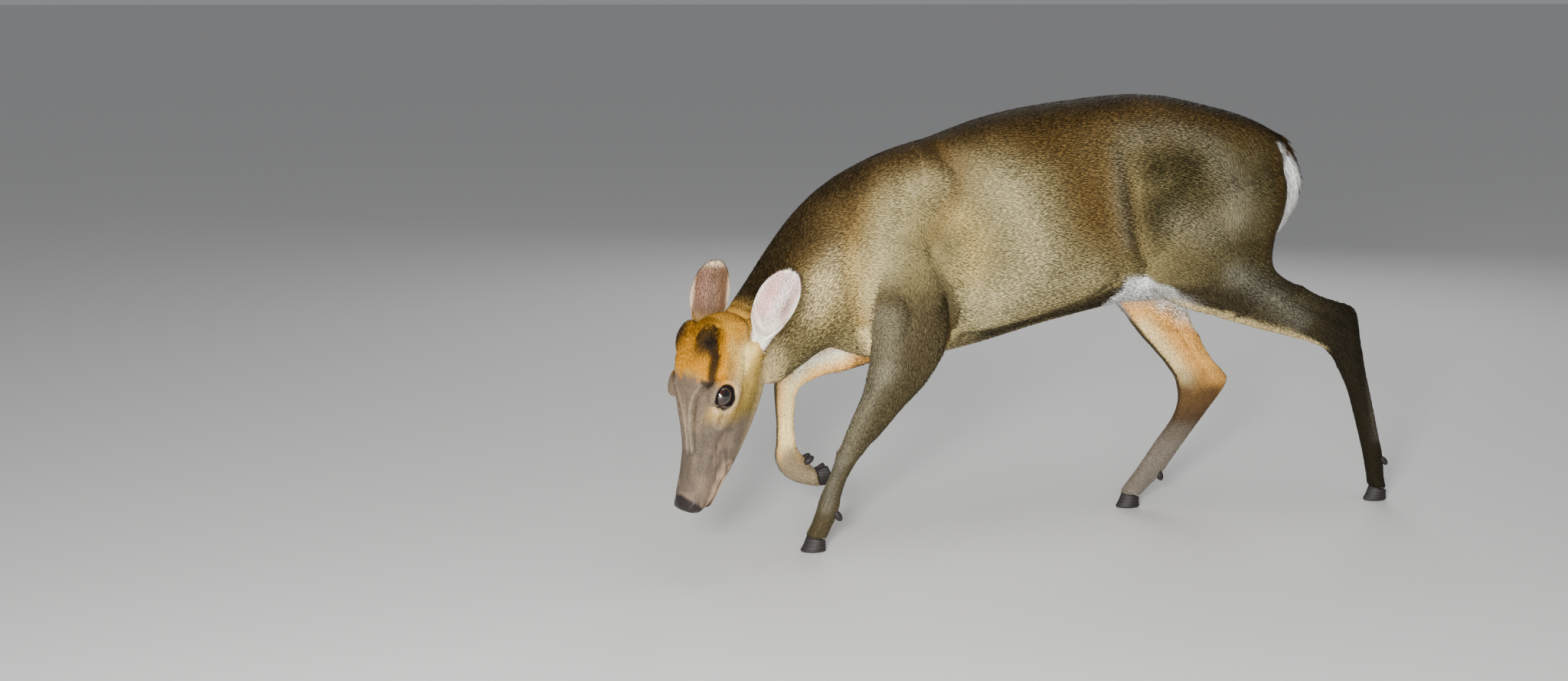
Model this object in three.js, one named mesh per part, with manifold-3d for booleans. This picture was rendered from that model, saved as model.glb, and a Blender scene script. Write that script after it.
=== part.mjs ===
// A still, life-size muntjac that walks with its nose to the ground and its right forefoot lifted.
// Millimetres, +Z up. The nose points to -X, the tail to +X and the animal's left side is -Y.
// The stance is drawn round the left forefoot, and the whole group is then moved so that its
// origin is the middle of its bounding box, on the floor.

import * as THREE from 'three';
import { mergeVertices } from 'three/addons/utils/BufferGeometryUtils.js';
import Module from 'manifold-3d';

const wasm = await Module();
wasm.setup();

// Driving sizes
const GAP = 0.3;              // space between two pieces that touch
const SLACK = 0.42;           // how far a pocket is grown round the piece that sits in it
const EYE_RADIUS = 14.5;
const EYE_OUT = 36;           // from the head's midline to the middle of an eyeball
const LID_THICK = 2.6;
const EAR_LENGTH = 101;
const EAR_WIDTH = 52;
const EAR_WALL = 2.4;
const EAR_CUT = 24;           // how far up an ear from its root it leaves the head
const HOOF_LENGTH = 34;
const HOOF_HEIGHT = 19;
const HOOF_WIDTH = 12;
const HOOF_CLEFT = 1.6;
const CORONET_HALF = 13;      // half the length of the coronet, toe to heel
const CORONET_SLOPE = 0.25;
const DEWCLAW_LENGTH = 13;
const TAIL_LOCK = 30;         // length of a lock of the tail's fringe
const TAIL_LOCKS = 7;         // locks along each edge of the tail

const COAT = { back: 0x7d6546, flank: 0x8f7f66, leg: 0x5c5048, inner: 0xd9c9a4, head: 0x9a7c52 };
const DARK = { hoof: 0x2a2622, eye: 0x120c08, tail: 0x4a3826 };

const material = (color, roughness = 0.85) => (
  new THREE.MeshStandardMaterial({ color, roughness, metalness: 0 })
);

// Geometry helpers

function closedGeometry(points, faces) {
  const geometry = new THREE.BufferGeometry();
  geometry.setAttribute('position', new THREE.Float32BufferAttribute(points.flat(), 3));
  let volume = 0;
  for (const [a, b, c] of faces) {
    const [p, q, r] = [points[a], points[b], points[c]];
    volume += p[0] * (q[1] * r[2] - q[2] * r[1])
      + p[1] * (q[2] * r[0] - q[0] * r[2])
      + p[2] * (q[0] * r[1] - q[1] * r[0]);
  }
  geometry.setIndex((volume < 0 ? faces.map(([a, b, c]) => [a, c, b]) : faces).flat());
  return geometry;
}

// A closed tube through rings that all have the same number of points.
function skin(rings) {
  const sides = rings[0].length;
  const points = rings.flat();
  const faces = [];
  for (let i = 0; i + 1 < rings.length; i += 1) {
    for (let j = 0; j < sides; j += 1) {
      const a = i * sides + j;
      const b = i * sides + ((j + 1) % sides);
      faces.push([a, b, b + sides], [a, b + sides, a + sides]);
    }
  }
  const caps = [[rings[0], 0, true], [rings.at(-1), (rings.length - 1) * sides, false]];
  for (const [ring, start, flip] of caps) {
    const middle = [0, 1, 2].map((k) => ring.reduce((sum, p) => sum + p[k], 0) / sides);
    const hub = points.push(middle) - 1;
    for (let j = 0; j < sides; j += 1) {
      const a = start + j;
      const b = start + ((j + 1) % sides);
      faces.push(flip ? [hub, b, a] : [hub, a, b]);
    }
  }
  return closedGeometry(points, faces);
}

const catmullRom = (p, q, r, s, t) => (
  0.5 * (2 * q + (r - p) * t + (2 * p - 5 * q + 4 * r - s) * t * t
    + (3 * q - p - 3 * r + s) * t * t * t)
);

// A section is an upper edge, a lower edge and a half width, which bulges by "square" and is
// wider low down by "full". "turn" swings its plane to the side, in degrees.
const section = (top, bottom, y, half, { square = 2, full = 0, turn = 0 } = {}) => (
  [top[0], top[1], bottom[0], bottom[1], y, half, square, full, turn]
);

function spread(sections, steps) {
  const out = [];
  for (let i = 0; i + 1 < sections.length; i += 1) {
    const at = (k) => sections[Math.min(Math.max(k, 0), sections.length - 1)];
    for (let k = 0; k < steps; k += 1) {
      out.push(sections[i].map((_, n) => (
        catmullRom(at(i - 1)[n], at(i)[n], at(i + 1)[n], at(i + 2)[n], k / steps)
      )));
    }
  }
  out.push(sections.at(-1));
  return out;
}

function ringOf([topX, topZ, lowX, lowZ, y, half, square, full, turn], sides) {
  const yaw = THREE.MathUtils.degToRad(turn);
  const points = [];
  for (let j = 0; j < sides; j += 1) {
    const angle = (2 * Math.PI * j) / sides;
    const power = 2 / square;
    const up = Math.sign(Math.cos(angle)) * Math.abs(Math.cos(angle)) ** power;
    const out = Math.sign(Math.sin(angle)) * Math.abs(Math.sin(angle)) ** power;
    const side = half * out * (1 - full * up);
    points.push([
      (topX + lowX) / 2 + ((topX - lowX) / 2) * up - Math.sin(yaw) * side,
      y + Math.cos(yaw) * side,
      (topZ + lowZ) / 2 + ((topZ - lowZ) / 2) * up,
    ]);
  }
  return points;
}

const ringsOf = (sections, { sides = 20, steps = 3 } = {}) => (
  spread(sections, steps).map((row) => ringOf(row, sides))
);

const loft = (sections, options) => skin(ringsOf(sections, options));

// Manifold helpers

function solid(geometry) {
  const plain = geometry.clone();
  plain.deleteAttribute('normal');
  plain.deleteAttribute('uv');
  const merged = mergeVertices(plain, 1e-4);
  return new wasm.Manifold(new wasm.Mesh({
    numProp: 3,
    vertProperties: new Float32Array(merged.attributes.position.array),
    triVerts: new Uint32Array(merged.index.array),
  }));
}

function geometryOf(body) {
  const pieces = body.decompose().sort((a, b) => b.volume() - a.volume());
  const mesh = pieces[0].getMesh();
  const geometry = new THREE.BufferGeometry();
  const positions = [];
  for (let i = 0; i < mesh.vertProperties.length; i += mesh.numProp) {
    positions.push(...mesh.vertProperties.slice(i, i + 3));
  }
  geometry.setAttribute('position', new THREE.Float32BufferAttribute(positions, 3));
  geometry.setIndex(Array.from(mesh.triVerts));
  return geometry;
}

// The same closed geometry with every face moved out by a small distance.
function grown(geometry, distance = SLACK) {
  const plain = geometry.clone();
  plain.deleteAttribute('normal');
  plain.deleteAttribute('uv');
  const merged = mergeVertices(plain, 1e-4);
  merged.computeVertexNormals();
  const place = merged.attributes.position;
  const normal = merged.attributes.normal;
  for (let i = 0; i < place.count; i += 1) {
    place.setXYZ(
      i,
      place.getX(i) + normal.getX(i) * distance,
      place.getY(i) + normal.getY(i) * distance,
      place.getZ(i) + normal.getZ(i) * distance,
    );
  }
  merged.deleteAttribute('normal');
  return merged;
}

const joined = (geometries) => geometries.map(solid).reduce((sum, next) => sum.add(next));

// Two halves of a body on either side of a plane, with the gap between them.
function parted(body, point, direction) {
  const n = new THREE.Vector3(...direction).normalize();
  const level = n.dot(new THREE.Vector3(...point));
  const normal = [n.x, n.y, n.z];
  const back = normal.map((value) => -value);
  return [
    body.trimByPlane(normal, level + GAP / 2),
    body.trimByPlane(back, -level + GAP / 2),
  ];
}

const group = new THREE.Group();
const stance = new THREE.Group();
group.add(stance);

function addNode(name, geometry, finish, parent = stance) {
  const mesh = new THREE.Mesh(geometry, finish);
  mesh.name = name;
  parent.add(mesh);
  return mesh;
}

// The trunk and neck, from the buttocks to the throat

const TRUNK = [
  section([716, 520], [708, 474], 0, 16),
  section([706, 535], [696, 428], 0, 48, { square: 2.1 }),
  section([682, 551], [666, 378], 0, 74, { square: 2.2 }),
  section([640, 567], [626, 338], 0, 91, { square: 2.2 }),
  section([592, 579], [582, 314], 0, 99, { square: 2.2 }),
  section([530, 592], [528, 306], 0, 101, { square: 2.15 }),
  section([465, 595], [470, 306], 0, 102, { square: 2.1, full: 0.05 }),
  section([395, 589], [402, 295], 0, 103, { square: 2.1, full: 0.08 }),
  section([320, 580], [328, 280], 0, 102, { square: 2.1, full: 0.08 }),
  section([250, 565], [256, 262], 0, 97, { square: 2.1, full: 0.07 }),
  section([190, 545], [196, 250], 0, 88, { full: 0.06 }),
  section([135, 531], [142, 243], 0, 77, { full: 0.05 }),
  section([84, 511], [92, 250], -1, 69, { turn: 3 }),
  section([40, 487], [58, 261], -6, 64, { turn: 9 }),
  section([-2, 453], [36, 268], -16, 57, { turn: 17 }),
  section([-42, 410], [8, 263], -34, 50, { turn: 25 }),
  section([-80, 370], [-24, 252], -60, 44, { turn: 31 }),
  section([-108, 346], [-58, 242], -84, 38, { turn: 34 }),
  section([-128, 322], [-86, 246], -98, 31, { turn: 35 }),
];
const NECK_FROM = 24;         // the ring at which the neck leaves the trunk
const TRUNK_STEPS = 2;
const trunkRings = ringsOf(TRUNK, { sides: 26, steps: TRUNK_STEPS });

function shifted(ring, toward, distance) {
  const middle = (points) => [0, 1, 2].map((k) => (
    points.reduce((sum, p) => sum + p[k], 0) / points.length
  ));
  const from = new THREE.Vector3(...middle(ring));
  const step = new THREE.Vector3(...middle(toward)).sub(from).setLength(distance);
  return ring.map((p) => [p[0] + step.x, p[1] + step.y, p[2] + step.z]);
}

const trunkGeometry = skin(trunkRings.slice(0, NECK_FROM + 1));
const neckStart = shifted(trunkRings[NECK_FROM], trunkRings[NECK_FROM + 1], GAP);
const neckGeometry = skin([neckStart, ...trunkRings.slice(NECK_FROM + 1)]);

// Feet: the middle of each sole, and how far the foot is folded back

const FEET = {
  left_fore: { place: [15, -38, 0], pitch: 0 },
  right_fore: { place: [60, 40, 86], pitch: -112 },
  left_hind: { place: [880, -49, 0], pitch: 0 },
  right_hind: { place: [517, 28, 0], pitch: 0 },
};

// The section on which a leg ends and its hooves begin.
function coronet({ place, pitch }) {
  const angle = THREE.MathUtils.degToRad(pitch);
  const at = (x, z) => [
    place[0] + x * Math.cos(angle) + z * Math.sin(angle),
    place[2] - x * Math.sin(angle) + z * Math.cos(angle),
  ];
  const rise = CORONET_SLOPE * CORONET_HALF;
  return section(
    at(-CORONET_HALF, HOOF_HEIGHT + rise),
    at(CORONET_HALF, HOOF_HEIGHT - rise),
    place[1],
    HOOF_WIDTH + HOOF_CLEFT / 2 + 1,
    { square: 2.2 },
  );
}

// Legs: front and back edges of each section, from the body down to the coronet

const LEFT_FORE = [
  section([108, 440], [178, 430], -56, 14),
  section([88, 400], [196, 380], -62, 24),
  section([82, 345], [200, 318], -66, 29),
  section([81, 290], [184, 268], -68, 30),
  section([78, 239], [157, 224], -65, 28),
  section([65, 200], [131, 196], -61, 23),
  section([50, 165], [98, 155], -55, 18),
  section([42, 141], [81, 138], -50, 16.5, { square: 2.3 }),
  section([36, 120], [68, 118], -47, 14),
  section([30, 98], [56, 96], -44, 11.5),
  section([20, 74], [49, 72], -41, 12.5),
  section([15, 55], [46, 52], -40, 14),
  section([9, 38], [37, 33], -39, 13),
  coronet(FEET.left_fore),
];
const RIGHT_FORE = [
  section([112, 440], [180, 430], 56, 14),
  section([92, 400], [196, 380], 62, 24),
  section([84, 340], [194, 316], 66, 29),
  section([92, 290], [172, 262], 67, 29),
  section([78, 266], [138, 232], 65, 27),
  section([43, 254], [90, 222], 60, 23),
  section([14, 237], [50, 215], 55, 19),
  section([-9, 220], [22, 204], 51, 17, { square: 2.3 }),
  section([-15, 194], [15, 190], 48, 15),
  section([-13, 160], [12, 159], 46, 12),
  section([-14, 130], [14, 130], 44, 12.5),
  section([-17, 108], [18, 118], 42, 14),
  section([-7, 87], [26, 109], 41, 13.5),
  section([14, 73], [33, 99], 40, 13),
  coronet(FEET.right_fore),
];
const LEFT_HIND = [
  section([552, 530], [662, 520], -48, 12),
  section([508, 478], [700, 484], -62, 28),
  section([474, 406], [690, 428], -74, 36),
  section([474, 342], [664, 376], -78, 36),
  section([530, 305], [680, 349], -77, 33),
  section([583, 290], [712, 333], -75, 29),
  section([648, 270], [750, 314], -71, 24),
  section([709, 253], [785, 303], -67, 19),
  section([750, 240], [815, 292], -64, 16.5),
  section([777, 225], [825, 257], -62, 15.5, { square: 2.3 }),
  section([799, 196], [837, 210], -60, 13),
  section([816, 165], [850, 170], -58, 11.5),
  section([830, 130], [863, 133], -55, 11),
  section([843, 96], [874, 98], -53, 11.5),
  section([854, 66], [884, 67], -51, 13),
  section([861, 42], [888, 36], -50, 13),
  coronet(FEET.left_hind),
];
const RIGHT_HIND = [
  section([552, 530], [662, 520], 48, 12),
  section([504, 478], [698, 480], 62, 28),
  section([472, 406], [680, 414], 74, 36),
  section([474, 345], [640, 350], 78, 36),
  section([498, 302], [625, 290], 76, 32),
  section([525, 270], [640, 246], 70, 27),
  section([551, 238], [662, 206], 64, 22),
  section([578, 208], [686, 180], 58, 18),
  section([598, 180], [686, 166], 55, 16, { square: 2.3 }),
  section([603, 148], [663, 143], 50, 14),
  section([590, 120], [636, 115], 45, 12.5),
  section([563, 93], [608, 87], 38, 12),
  section([541, 68], [585, 63], 33, 12.5),
  section([528, 52], [566, 42], 31, 13.5),
  section([514, 37], [545, 27], 29, 13),
  coronet(FEET.right_hind),
];
const LEG_STEPS = 2;
const LEG_SIDES = 16;

// Each leg is one run of rings, parted at the rings that its cuts name.
const LEGS = {
  left_foreleg: { sections: LEFT_FORE, cuts: [14], parts: ['upper', 'lower'] },
  right_foreleg: { sections: RIGHT_FORE, cuts: [14], parts: ['upper', 'lower'] },
  left_hindleg: { sections: LEFT_HIND, cuts: [10, 19], parts: ['thigh', 'shank', 'cannon'] },
  right_hindleg: { sections: RIGHT_HIND, cuts: [10, 17], parts: ['thigh', 'shank', 'cannon'] },
};

// Dewclaws: the middle of the back of each fetlock, and the way its claws point
const DEWCLAWS = {
  left_fore: { leg: 'left_foreleg', place: [43, -40, 50], pitch: 35 },
  right_fore: { leg: 'right_foreleg', place: [27, 40.5, 105], pitch: -60 },
  left_hind: { leg: 'left_hindleg', place: [882, -51, 62], pitch: 25 },
  right_hind: { leg: 'right_hindleg', place: [563, 31, 46], pitch: 45 },
};
const DEWCLAW_OUT = 7.5;

function legPieces({ sections, cuts, parts }) {
  const rings = ringsOf(sections, { sides: LEG_SIDES, steps: LEG_STEPS });
  const ends = [0, ...cuts, rings.length - 1];
  return parts.map((part, i) => {
    const run = rings.slice(ends[i], ends[i + 1] + 1);
    if (i > 0) {
      run[0] = shifted(run[0], run[1], GAP);
    }
    return [part, skin(run)];
  });
}

// Hooves: two to a foot, with a flat sole, a pointed toe and a flat inner wall

function hoofRing(toe, heel, half, lift, slope, side) {
  const count = 7;
  const points = [];
  const zAt = (x) => lift + slope * x;
  for (let i = 0; i <= count; i += 1) {
    const t = i / count;
    const x = heel + (toe - heel) * t;
    const bow = Math.sin(Math.PI * (0.16 + 0.84 * t)) ** 0.72;
    points.push([-x, side * (HOOF_CLEFT / 2 + half * Math.max(bow, 0.02)), zAt(x)]);
  }
  for (let i = count - 1; i > 0; i -= 2) {
    const x = heel + ((toe - heel) * i) / count;
    points.push([-x, (side * HOOF_CLEFT) / 2, zAt(x)]);
  }
  return points;
}

function hoofGeometry(side) {
  const row = (toe, heel, wide, lift, slope) => (
    hoofRing(HOOF_LENGTH * toe, -HOOF_LENGTH * heel, HOOF_WIDTH * wide, lift, slope, side)
  );
  return skin([
    row(0.62, 0.36, 1, 0, 0),
    row(0.64, 0.37, 1.04, 2.5, 0.01),
    row(0.5, 0.36, 1, 9, 0.1),
    row(0.37, 0.35, 0.92, HOOF_HEIGHT - GAP, CORONET_SLOPE),
  ]);
}

// The tail, which hangs close behind the rump: inner and outer edges from its root to its tip

const TAIL = [
  section([690, 548], [660, 510], 0, 15),
  section([712, 541], [676, 494], 0, 19),
  section([736, 518], [688, 470], 0, 22),
  section([751, 486], [693, 454], 0, 25, { square: 2.2 }),
  section([751, 456], [690, 438], 0, 26, { square: 2.3 }),
  section([742, 427], [683, 420], 0, 22, { square: 2.3 }),
  section([730, 402], [680, 404], 0, 15),
  section([714, 388], [686, 391], 0, 7),
];
const TAIL_STEPS = 2;

// A flat lock of coat: it starts inside its node, bends and tapers to a point.
function lock(root, direction, flat, length, width, thick, droop) {
  const along = new THREE.Vector3(...direction).normalize();
  const side = new THREE.Vector3(...flat).normalize();
  const normal = new THREE.Vector3().crossVectors(along, side).normalize();
  const shape = [[0, 0.55, 1], [0.35, 1, 1], [0.75, 0.7, 0.7], [1, 0.12, 0.3]];
  return skin(shape.map(([t, wide, deep]) => {
    const middle = new THREE.Vector3(...root).addScaledVector(along, length * t)
      .addScaledVector(new THREE.Vector3(...droop), t * t);
    return Array.from({ length: 6 }, (_, j) => {
      const angle = (2 * Math.PI * j) / 6;
      return middle.clone()
        .addScaledVector(side, (Math.cos(angle) * width * wide) / 2)
        .addScaledVector(normal, (Math.sin(angle) * thick * deep) / 2)
        .toArray();
    });
  }));
}

function buildTail(rump) {
  const rings = ringsOf(TAIL, { sides: 14, steps: TAIL_STEPS });
  let tail = solid(skin(rings));
  const rows = spread(TAIL, TAIL_STEPS);
  for (let i = 0; i < TAIL_LOCKS; i += 1) {
    const at = 3 + ((rows.length - 4) * i) / (TAIL_LOCKS - 1);
    const low = Math.floor(at);
    const mix = (n) => {
      const next = rows[Math.min(low + 1, rows.length - 1)][n];
      return THREE.MathUtils.lerp(rows[low][n], next, at - low);
    };
    const inward = 0.35;
    const x = THREE.MathUtils.lerp(mix(0), mix(2), inward);
    const z = THREE.MathUtils.lerp(mix(1), mix(3), inward);
    for (const side of [-1, 1]) {
      tail = tail.add(solid(lock(
        [x, side * mix(5) * 0.62, z + 6],
        [-0.16 - 0.03 * i, side * (0.36 - 0.05 * i), -1],
        [0.25, side, 0.35],
        TAIL_LOCK - 2.5 * i,
        11,
        5,
        [-2, side * 1.5, -2],
      )));
    }
  }
  return geometryOf(tail.subtract(solid(grown(rump))));
}

// The head, drawn level in its own frame: nose to -X, left to -Y, the midpoint of the eyes at 0

const SKULL = [
  section([-152, -9], [-153, -22], 0, 8),
  section([-149, -3], [-150, -31], 0, 15.5, { square: 2.4 }),
  section([-139, -1], [-141, -36], 0, 20, { square: 2.5 }),
  section([-122, -1], [-122, -40], 0, 22.5, { square: 2.5 }),
  section([-102, -1], [-101, -44], 0, 25, { square: 2.4 }),
  section([-80, 1], [-78, -46], 0, 28, { square: 2.3 }),
  section([-58, 8], [-56, -47], 0, 32, { square: 2.2 }),
  section([-34, 17], [-34, -47], 0, 38.5, { square: 2.1 }),
  section([-12, 25], [-12, -46], 0, 44.5, { square: 2.1 }),
  section([10, 32], [10, -46], 0, 46.5, { square: 2.2 }),
  section([34, 37], [32, -46], 0, 44, { square: 2.2 }),
  section([57, 36], [52, -46], 0, 41.5, { square: 2.1 }),
  section([79, 22], [72, -45], 0, 39),
  section([96, 0], [88, -40], 0, 31),
  section([102, -14], [98, -32], 0, 14),
];
const JAW = [
  section([-143, -32], [-143, -40], 0, 7.5),
  section([-137, -26], [-139, -46], 0, 13.5, { square: 2.2 }),
  section([-118, -24], [-120, -53], 0, 18, { square: 2.2 }),
  section([-92, -20], [-93, -61], 0, 24, { square: 2.2 }),
  section([-62, -16], [-63, -70], 0, 30, { square: 2.1 }),
  section([-34, -12], [-34, -76], 0, 35.5, { square: 2.1 }),
  section([-6, -6], [-6, -81], 0, 39.5),
  section([20, 0], [22, -84], 0, 41),
  section([44, 4], [50, -80], 0, 39),
  section([66, 2], [72, -66], 0, 34),
  section([84, -6], [88, -50], 0, 24),
];

// A small rod of round section through points, with its own radius at each.
function rod(points, radii, { sides = 6, steps = 2 } = {}) {
  const curve = new THREE.CatmullRomCurve3(points.map((p) => new THREE.Vector3(...p)));
  const count = (points.length - 1) * steps;
  const frames = curve.computeFrenetFrames(count, false);
  const rings = [];
  for (let i = 0; i <= count; i += 1) {
    const place = curve.getPoint(i / count);
    const slot = Math.min(Math.floor(i / steps), points.length - 2);
    const radius = THREE.MathUtils.lerp(radii[slot], radii[slot + 1], i / steps - slot);
    rings.push(Array.from({ length: sides }, (_, j) => {
      const angle = (2 * Math.PI * j) / sides;
      return place.clone()
        .addScaledVector(frames.normals[i], Math.cos(angle) * radius)
        .addScaledVector(frames.binormals[i], Math.sin(angle) * radius)
        .toArray();
    }));
  }
  return skin(rings);
}

function ball(centre, radii, detail = [10, 7]) {
  const geometry = new THREE.SphereGeometry(1, ...detail);
  geometry.scale(...radii);
  geometry.translate(...centre);
  return geometry;
}

const eyeball = (side, radius) => (
  ball([0, side * EYE_OUT, 0], [radius, radius, radius], [14, 10])
);

// The almond-shaped rim of the lids round an eye, which follows the bulge of the ball.
function lidGeometry(side) {
  const around = 16;
  const sides = 6;
  const depth = EYE_OUT + 9.6;
  const points = [];
  const faces = [];
  for (let i = 0; i < around; i += 1) {
    const a = (2 * Math.PI * i) / around;
    const pinch = 1 - 0.14 * Math.cos(a) ** 2;
    for (let j = 0; j < sides; j += 1) {
      const b = (2 * Math.PI * j) / sides;
      const reach = LID_THICK * Math.cos(b);
      const x = Math.cos(a) * (14.6 + reach);
      const z = Math.sin(a) * (12.2 + reach) * pinch;
      const fall = 0.0165 * (x * x + z * z);
      points.push([x, side * (depth + LID_THICK * Math.sin(b) - fall + 0.06 * x), z]);
      const next = i * sides + ((j + 1) % sides);
      const across = ((i + 1) % around) * sides;
      faces.push([i * sides + j, next, across + ((j + 1) % sides)]);
      faces.push([i * sides + j, across + ((j + 1) % sides), across + j]);
    }
  }
  return closedGeometry(points, faces);
}

// An ear: a leaf rolled into a horn at its root and open like a spoon above.
function earGeometry({ base, direction, facing }) {
  const along = new THREE.Vector3(...direction).normalize();
  const face = new THREE.Vector3(...facing);
  face.addScaledVector(along, -face.dot(along)).normalize();
  const across = new THREE.Vector3().crossVectors(along, face);
  // distance up the ear, share of its width, and half the angle that it wraps, in degrees
  const stations = [
    [0, 0.46, 150], [0.15, 0.5, 135], [0.28, 0.78, 96], [0.45, 0.98, 68],
    [0.62, 1, 56], [0.78, 0.86, 48], [0.9, 0.62, 42], [0.97, 0.36, 36], [1, 0.14, 30],
  ];
  const half = 7;
  return skin(stations.map(([u, wide, wrap], i) => {
    const bend = THREE.MathUtils.degToRad(wrap);
    const radius = (wide * EAR_WIDTH) / 2 / Math.sin(Math.min(bend, Math.PI / 2));
    const wall = Math.min(EAR_WALL, radius * 0.4);
    const centre = new THREE.Vector3(...base).addScaledVector(along, u * EAR_LENGTH)
      .addScaledVector(face, 8 * Math.sin(Math.PI * u) - 8 * u * u + radius);
    const at = (r, a) => centre.clone()
      .addScaledVector(across, r * Math.sin(a))
      .addScaledVector(face, -r * Math.cos(a));
    const outer = [];
    const inner = [];
    for (let j = 0; j <= half; j += 1) {
      const a = bend * ((2 * j) / half - 1);
      outer.push(at(radius, a));
      inner.push(at(radius - wall, a * 0.97));
    }
    if (i < 2) {
      const [first, last] = [inner[0].clone(), inner[half].clone()];
      inner.forEach((p, j) => p.lerpVectors(first, last, j / half));
    }
    return [...outer, ...inner.reverse()].map((p) => p.toArray());
  }));
}

const EARS = {
  left: { base: [66, -42, -44], direction: [0.98, 0, -0.19], facing: [0.12, -0.69, 0.71] },
  right: { base: [64, 34, -27], direction: [0.97, 0.22, 0.06], facing: [0.08, -0.57, 0.82] },
};

const headPlace = new THREE.Matrix4().compose(
  new THREE.Vector3(-161, -115, 245),
  new THREE.Quaternion().setFromEuler(new THREE.Euler(
    THREE.MathUtils.degToRad(-1.1),
    THREE.MathUtils.degToRad(-74.1),
    THREE.MathUtils.degToRad(22.6),
    'ZYX',
  )),
  new THREE.Vector3(1, 1, 1),
);

function buildHead() {
  let head = solid(loft(SKULL, { sides: 22, steps: 2 }));
  head = head.add(solid(loft(JAW, { sides: 16, steps: 2 })));
  const add = (geometry) => { head = head.add(solid(geometry)); };
  const cut = (geometry) => { head = head.subtract(solid(geometry)); };
  for (const side of [-1, 1]) {
    // the ridge from the pedicle over the brow, which meets the other one on the face
    add(rod(
      [[52, side * 24, 31], [32, side * 32, 24], [13, side * 34, 19.5], [-2, side * 25, 22],
        [-16, side * 14, 21.5], [-34, side * 7.5, 15.5], [-58, side * 4, 6.5]],
      [3, 4, 4, 3.8, 3.6, 3.2, 1.8],
    ));
    // the knob of the pedicle
    add(ball([56, side * 21, 25], [25, 13, 13]));
    add(ball([3, side * 38, 12], [17, 7.5, 6]));
    add(lidGeometry(side));
    // upper lip
    add(rod(
      [[-146, side * 8, -29], [-132, side * 17, -34], [-112, side * 21, -38], [-90, side * 25.5, -43]],
      [2.5, 3.6, 3.8, 2],
    ));
  }
  for (const side of [-1, 1]) {
    cut(eyeball(side, EYE_RADIUS + SLACK));
    // nostril, tear gland and the line of the mouth
    cut(ball([-149.5, side * 10.5, -13], [5.5, 3.2, 5]));
    cut(ball([-27, side * 42, -7], [12, 4, 2.4]));
    cut(rod(
      [[-152, side * 3, -35], [-139, side * 17, -38.5], [-116, side * 23.5, -42.5],
        [-90, side * 28.5, -47.5]],
      [1.6, 1.8, 1.8, 1],
    ));
  }
  const ears = {};
  for (const [name, shape] of Object.entries(EARS)) {
    const along = new THREE.Vector3(...shape.direction).normalize();
    const point = new THREE.Vector3(...shape.base).addScaledVector(along, EAR_CUT);
    const [free, root] = parted(solid(earGeometry(shape)), point.toArray(), along.toArray());
    ears[name] = free;
    head = head.add(root);
    // the swelling at the root of the ear
    const swell = new THREE.Vector3(...shape.base).addScaledVector(along, 4)
      .addScaledVector(new THREE.Vector3(...shape.facing), 8);
    head = head.add(solid(ball(swell.toArray(), [21, 14, 15])));
    head = head.add(solid(ball([58, shape.base[1] * 0.72, -20], [23, 13, 19])));
  }
  const around = solid(grown(geometryOf(head)));
  for (const name of Object.keys(ears)) {
    ears[name] = geometryOf(ears[name].subtract(around));
  }
  return { head: geometryOf(head), ears };
}

// The head with a short stub of neck, which is parted from the neck on a plane behind the jaw
// and the ears
const NAPE = { point: [-88, -79, 294], direction: [-0.72, -0.49, -0.41] };
const { head: headGeometry, ears } = buildHead();
headGeometry.applyMatrix4(headPlace);
const [headSide] = parted(joined([headGeometry, neckGeometry]), NAPE.point, NAPE.direction);
const [, neckSide] = parted(solid(neckGeometry), NAPE.point, NAPE.direction);
const aroundHead = solid(grown(geometryOf(headSide)));

addNode('head', geometryOf(headSide), material(COAT.head));
for (const [side, geometry] of Object.entries(ears)) {
  addNode(`ear_${side}`, geometry.applyMatrix4(headPlace), material(COAT.inner));
}
for (const [name, side] of [['left', -1], ['right', 1]]) {
  const eye = eyeball(side, EYE_RADIUS).applyMatrix4(headPlace);
  addNode(`eye_${name}`, eye, material(DARK.eye, 0.1));
}

// Dewclaws, two behind each fetlock, sunk a little into the leg
const claws = {};
for (const [foot, { leg, place, pitch }] of Object.entries(DEWCLAWS)) {
  for (const [name, side] of [['left', -1], ['right', 1]]) {
    const claw = rod(
      [[-4, side * DEWCLAW_OUT, 0], [3, side * DEWCLAW_OUT, -1], [DEWCLAW_LENGTH - 4, side * DEWCLAW_OUT, -5]],
      [4.4, 4, 1.4],
      { sides: 6, steps: 1 },
    );
    claw.rotateY(THREE.MathUtils.degToRad(pitch)).translate(...place);
    addNode(`${foot}_dewclaw_${name}`, claw, material(DARK.hoof, 0.45));
    claws[leg] = [...(claws[leg] ?? []), solid(grown(claw))];
  }
}

// Legs, with a pocket in the trunk and neck for the first piece of each
let trunk = solid(trunkGeometry);
let neck = neckSide.subtract(aroundHead);
for (const [leg, plan] of Object.entries(LEGS)) {
  const pieces = legPieces(plan);
  const pocket = solid(grown(pieces[0][1]));
  trunk = trunk.subtract(pocket);
  neck = neck.subtract(pocket);
  for (const [part, geometry] of pieces) {
    const body = claws[leg].reduce((rest, claw) => rest.subtract(claw), solid(geometry));
    addNode(`${leg}_${part}`, geometryOf(body), material(COAT.leg));
  }
}

// Hooves
for (const [foot, { place, pitch }] of Object.entries(FEET)) {
  const frame = new THREE.Group();
  frame.position.set(...place);
  frame.rotation.y = THREE.MathUtils.degToRad(pitch);
  stance.add(frame);
  for (const [name, side] of [['left', -1], ['right', 1]]) {
    addNode(`${foot}_hoof_${name}`, hoofGeometry(side), material(DARK.hoof, 0.4), frame);
  }
}

addNode('torso', geometryOf(trunk), material(COAT.back));
addNode('neck', geometryOf(neck), material(COAT.flank));
addNode('tail', buildTail(geometryOf(trunk)), material(DARK.tail));

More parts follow.
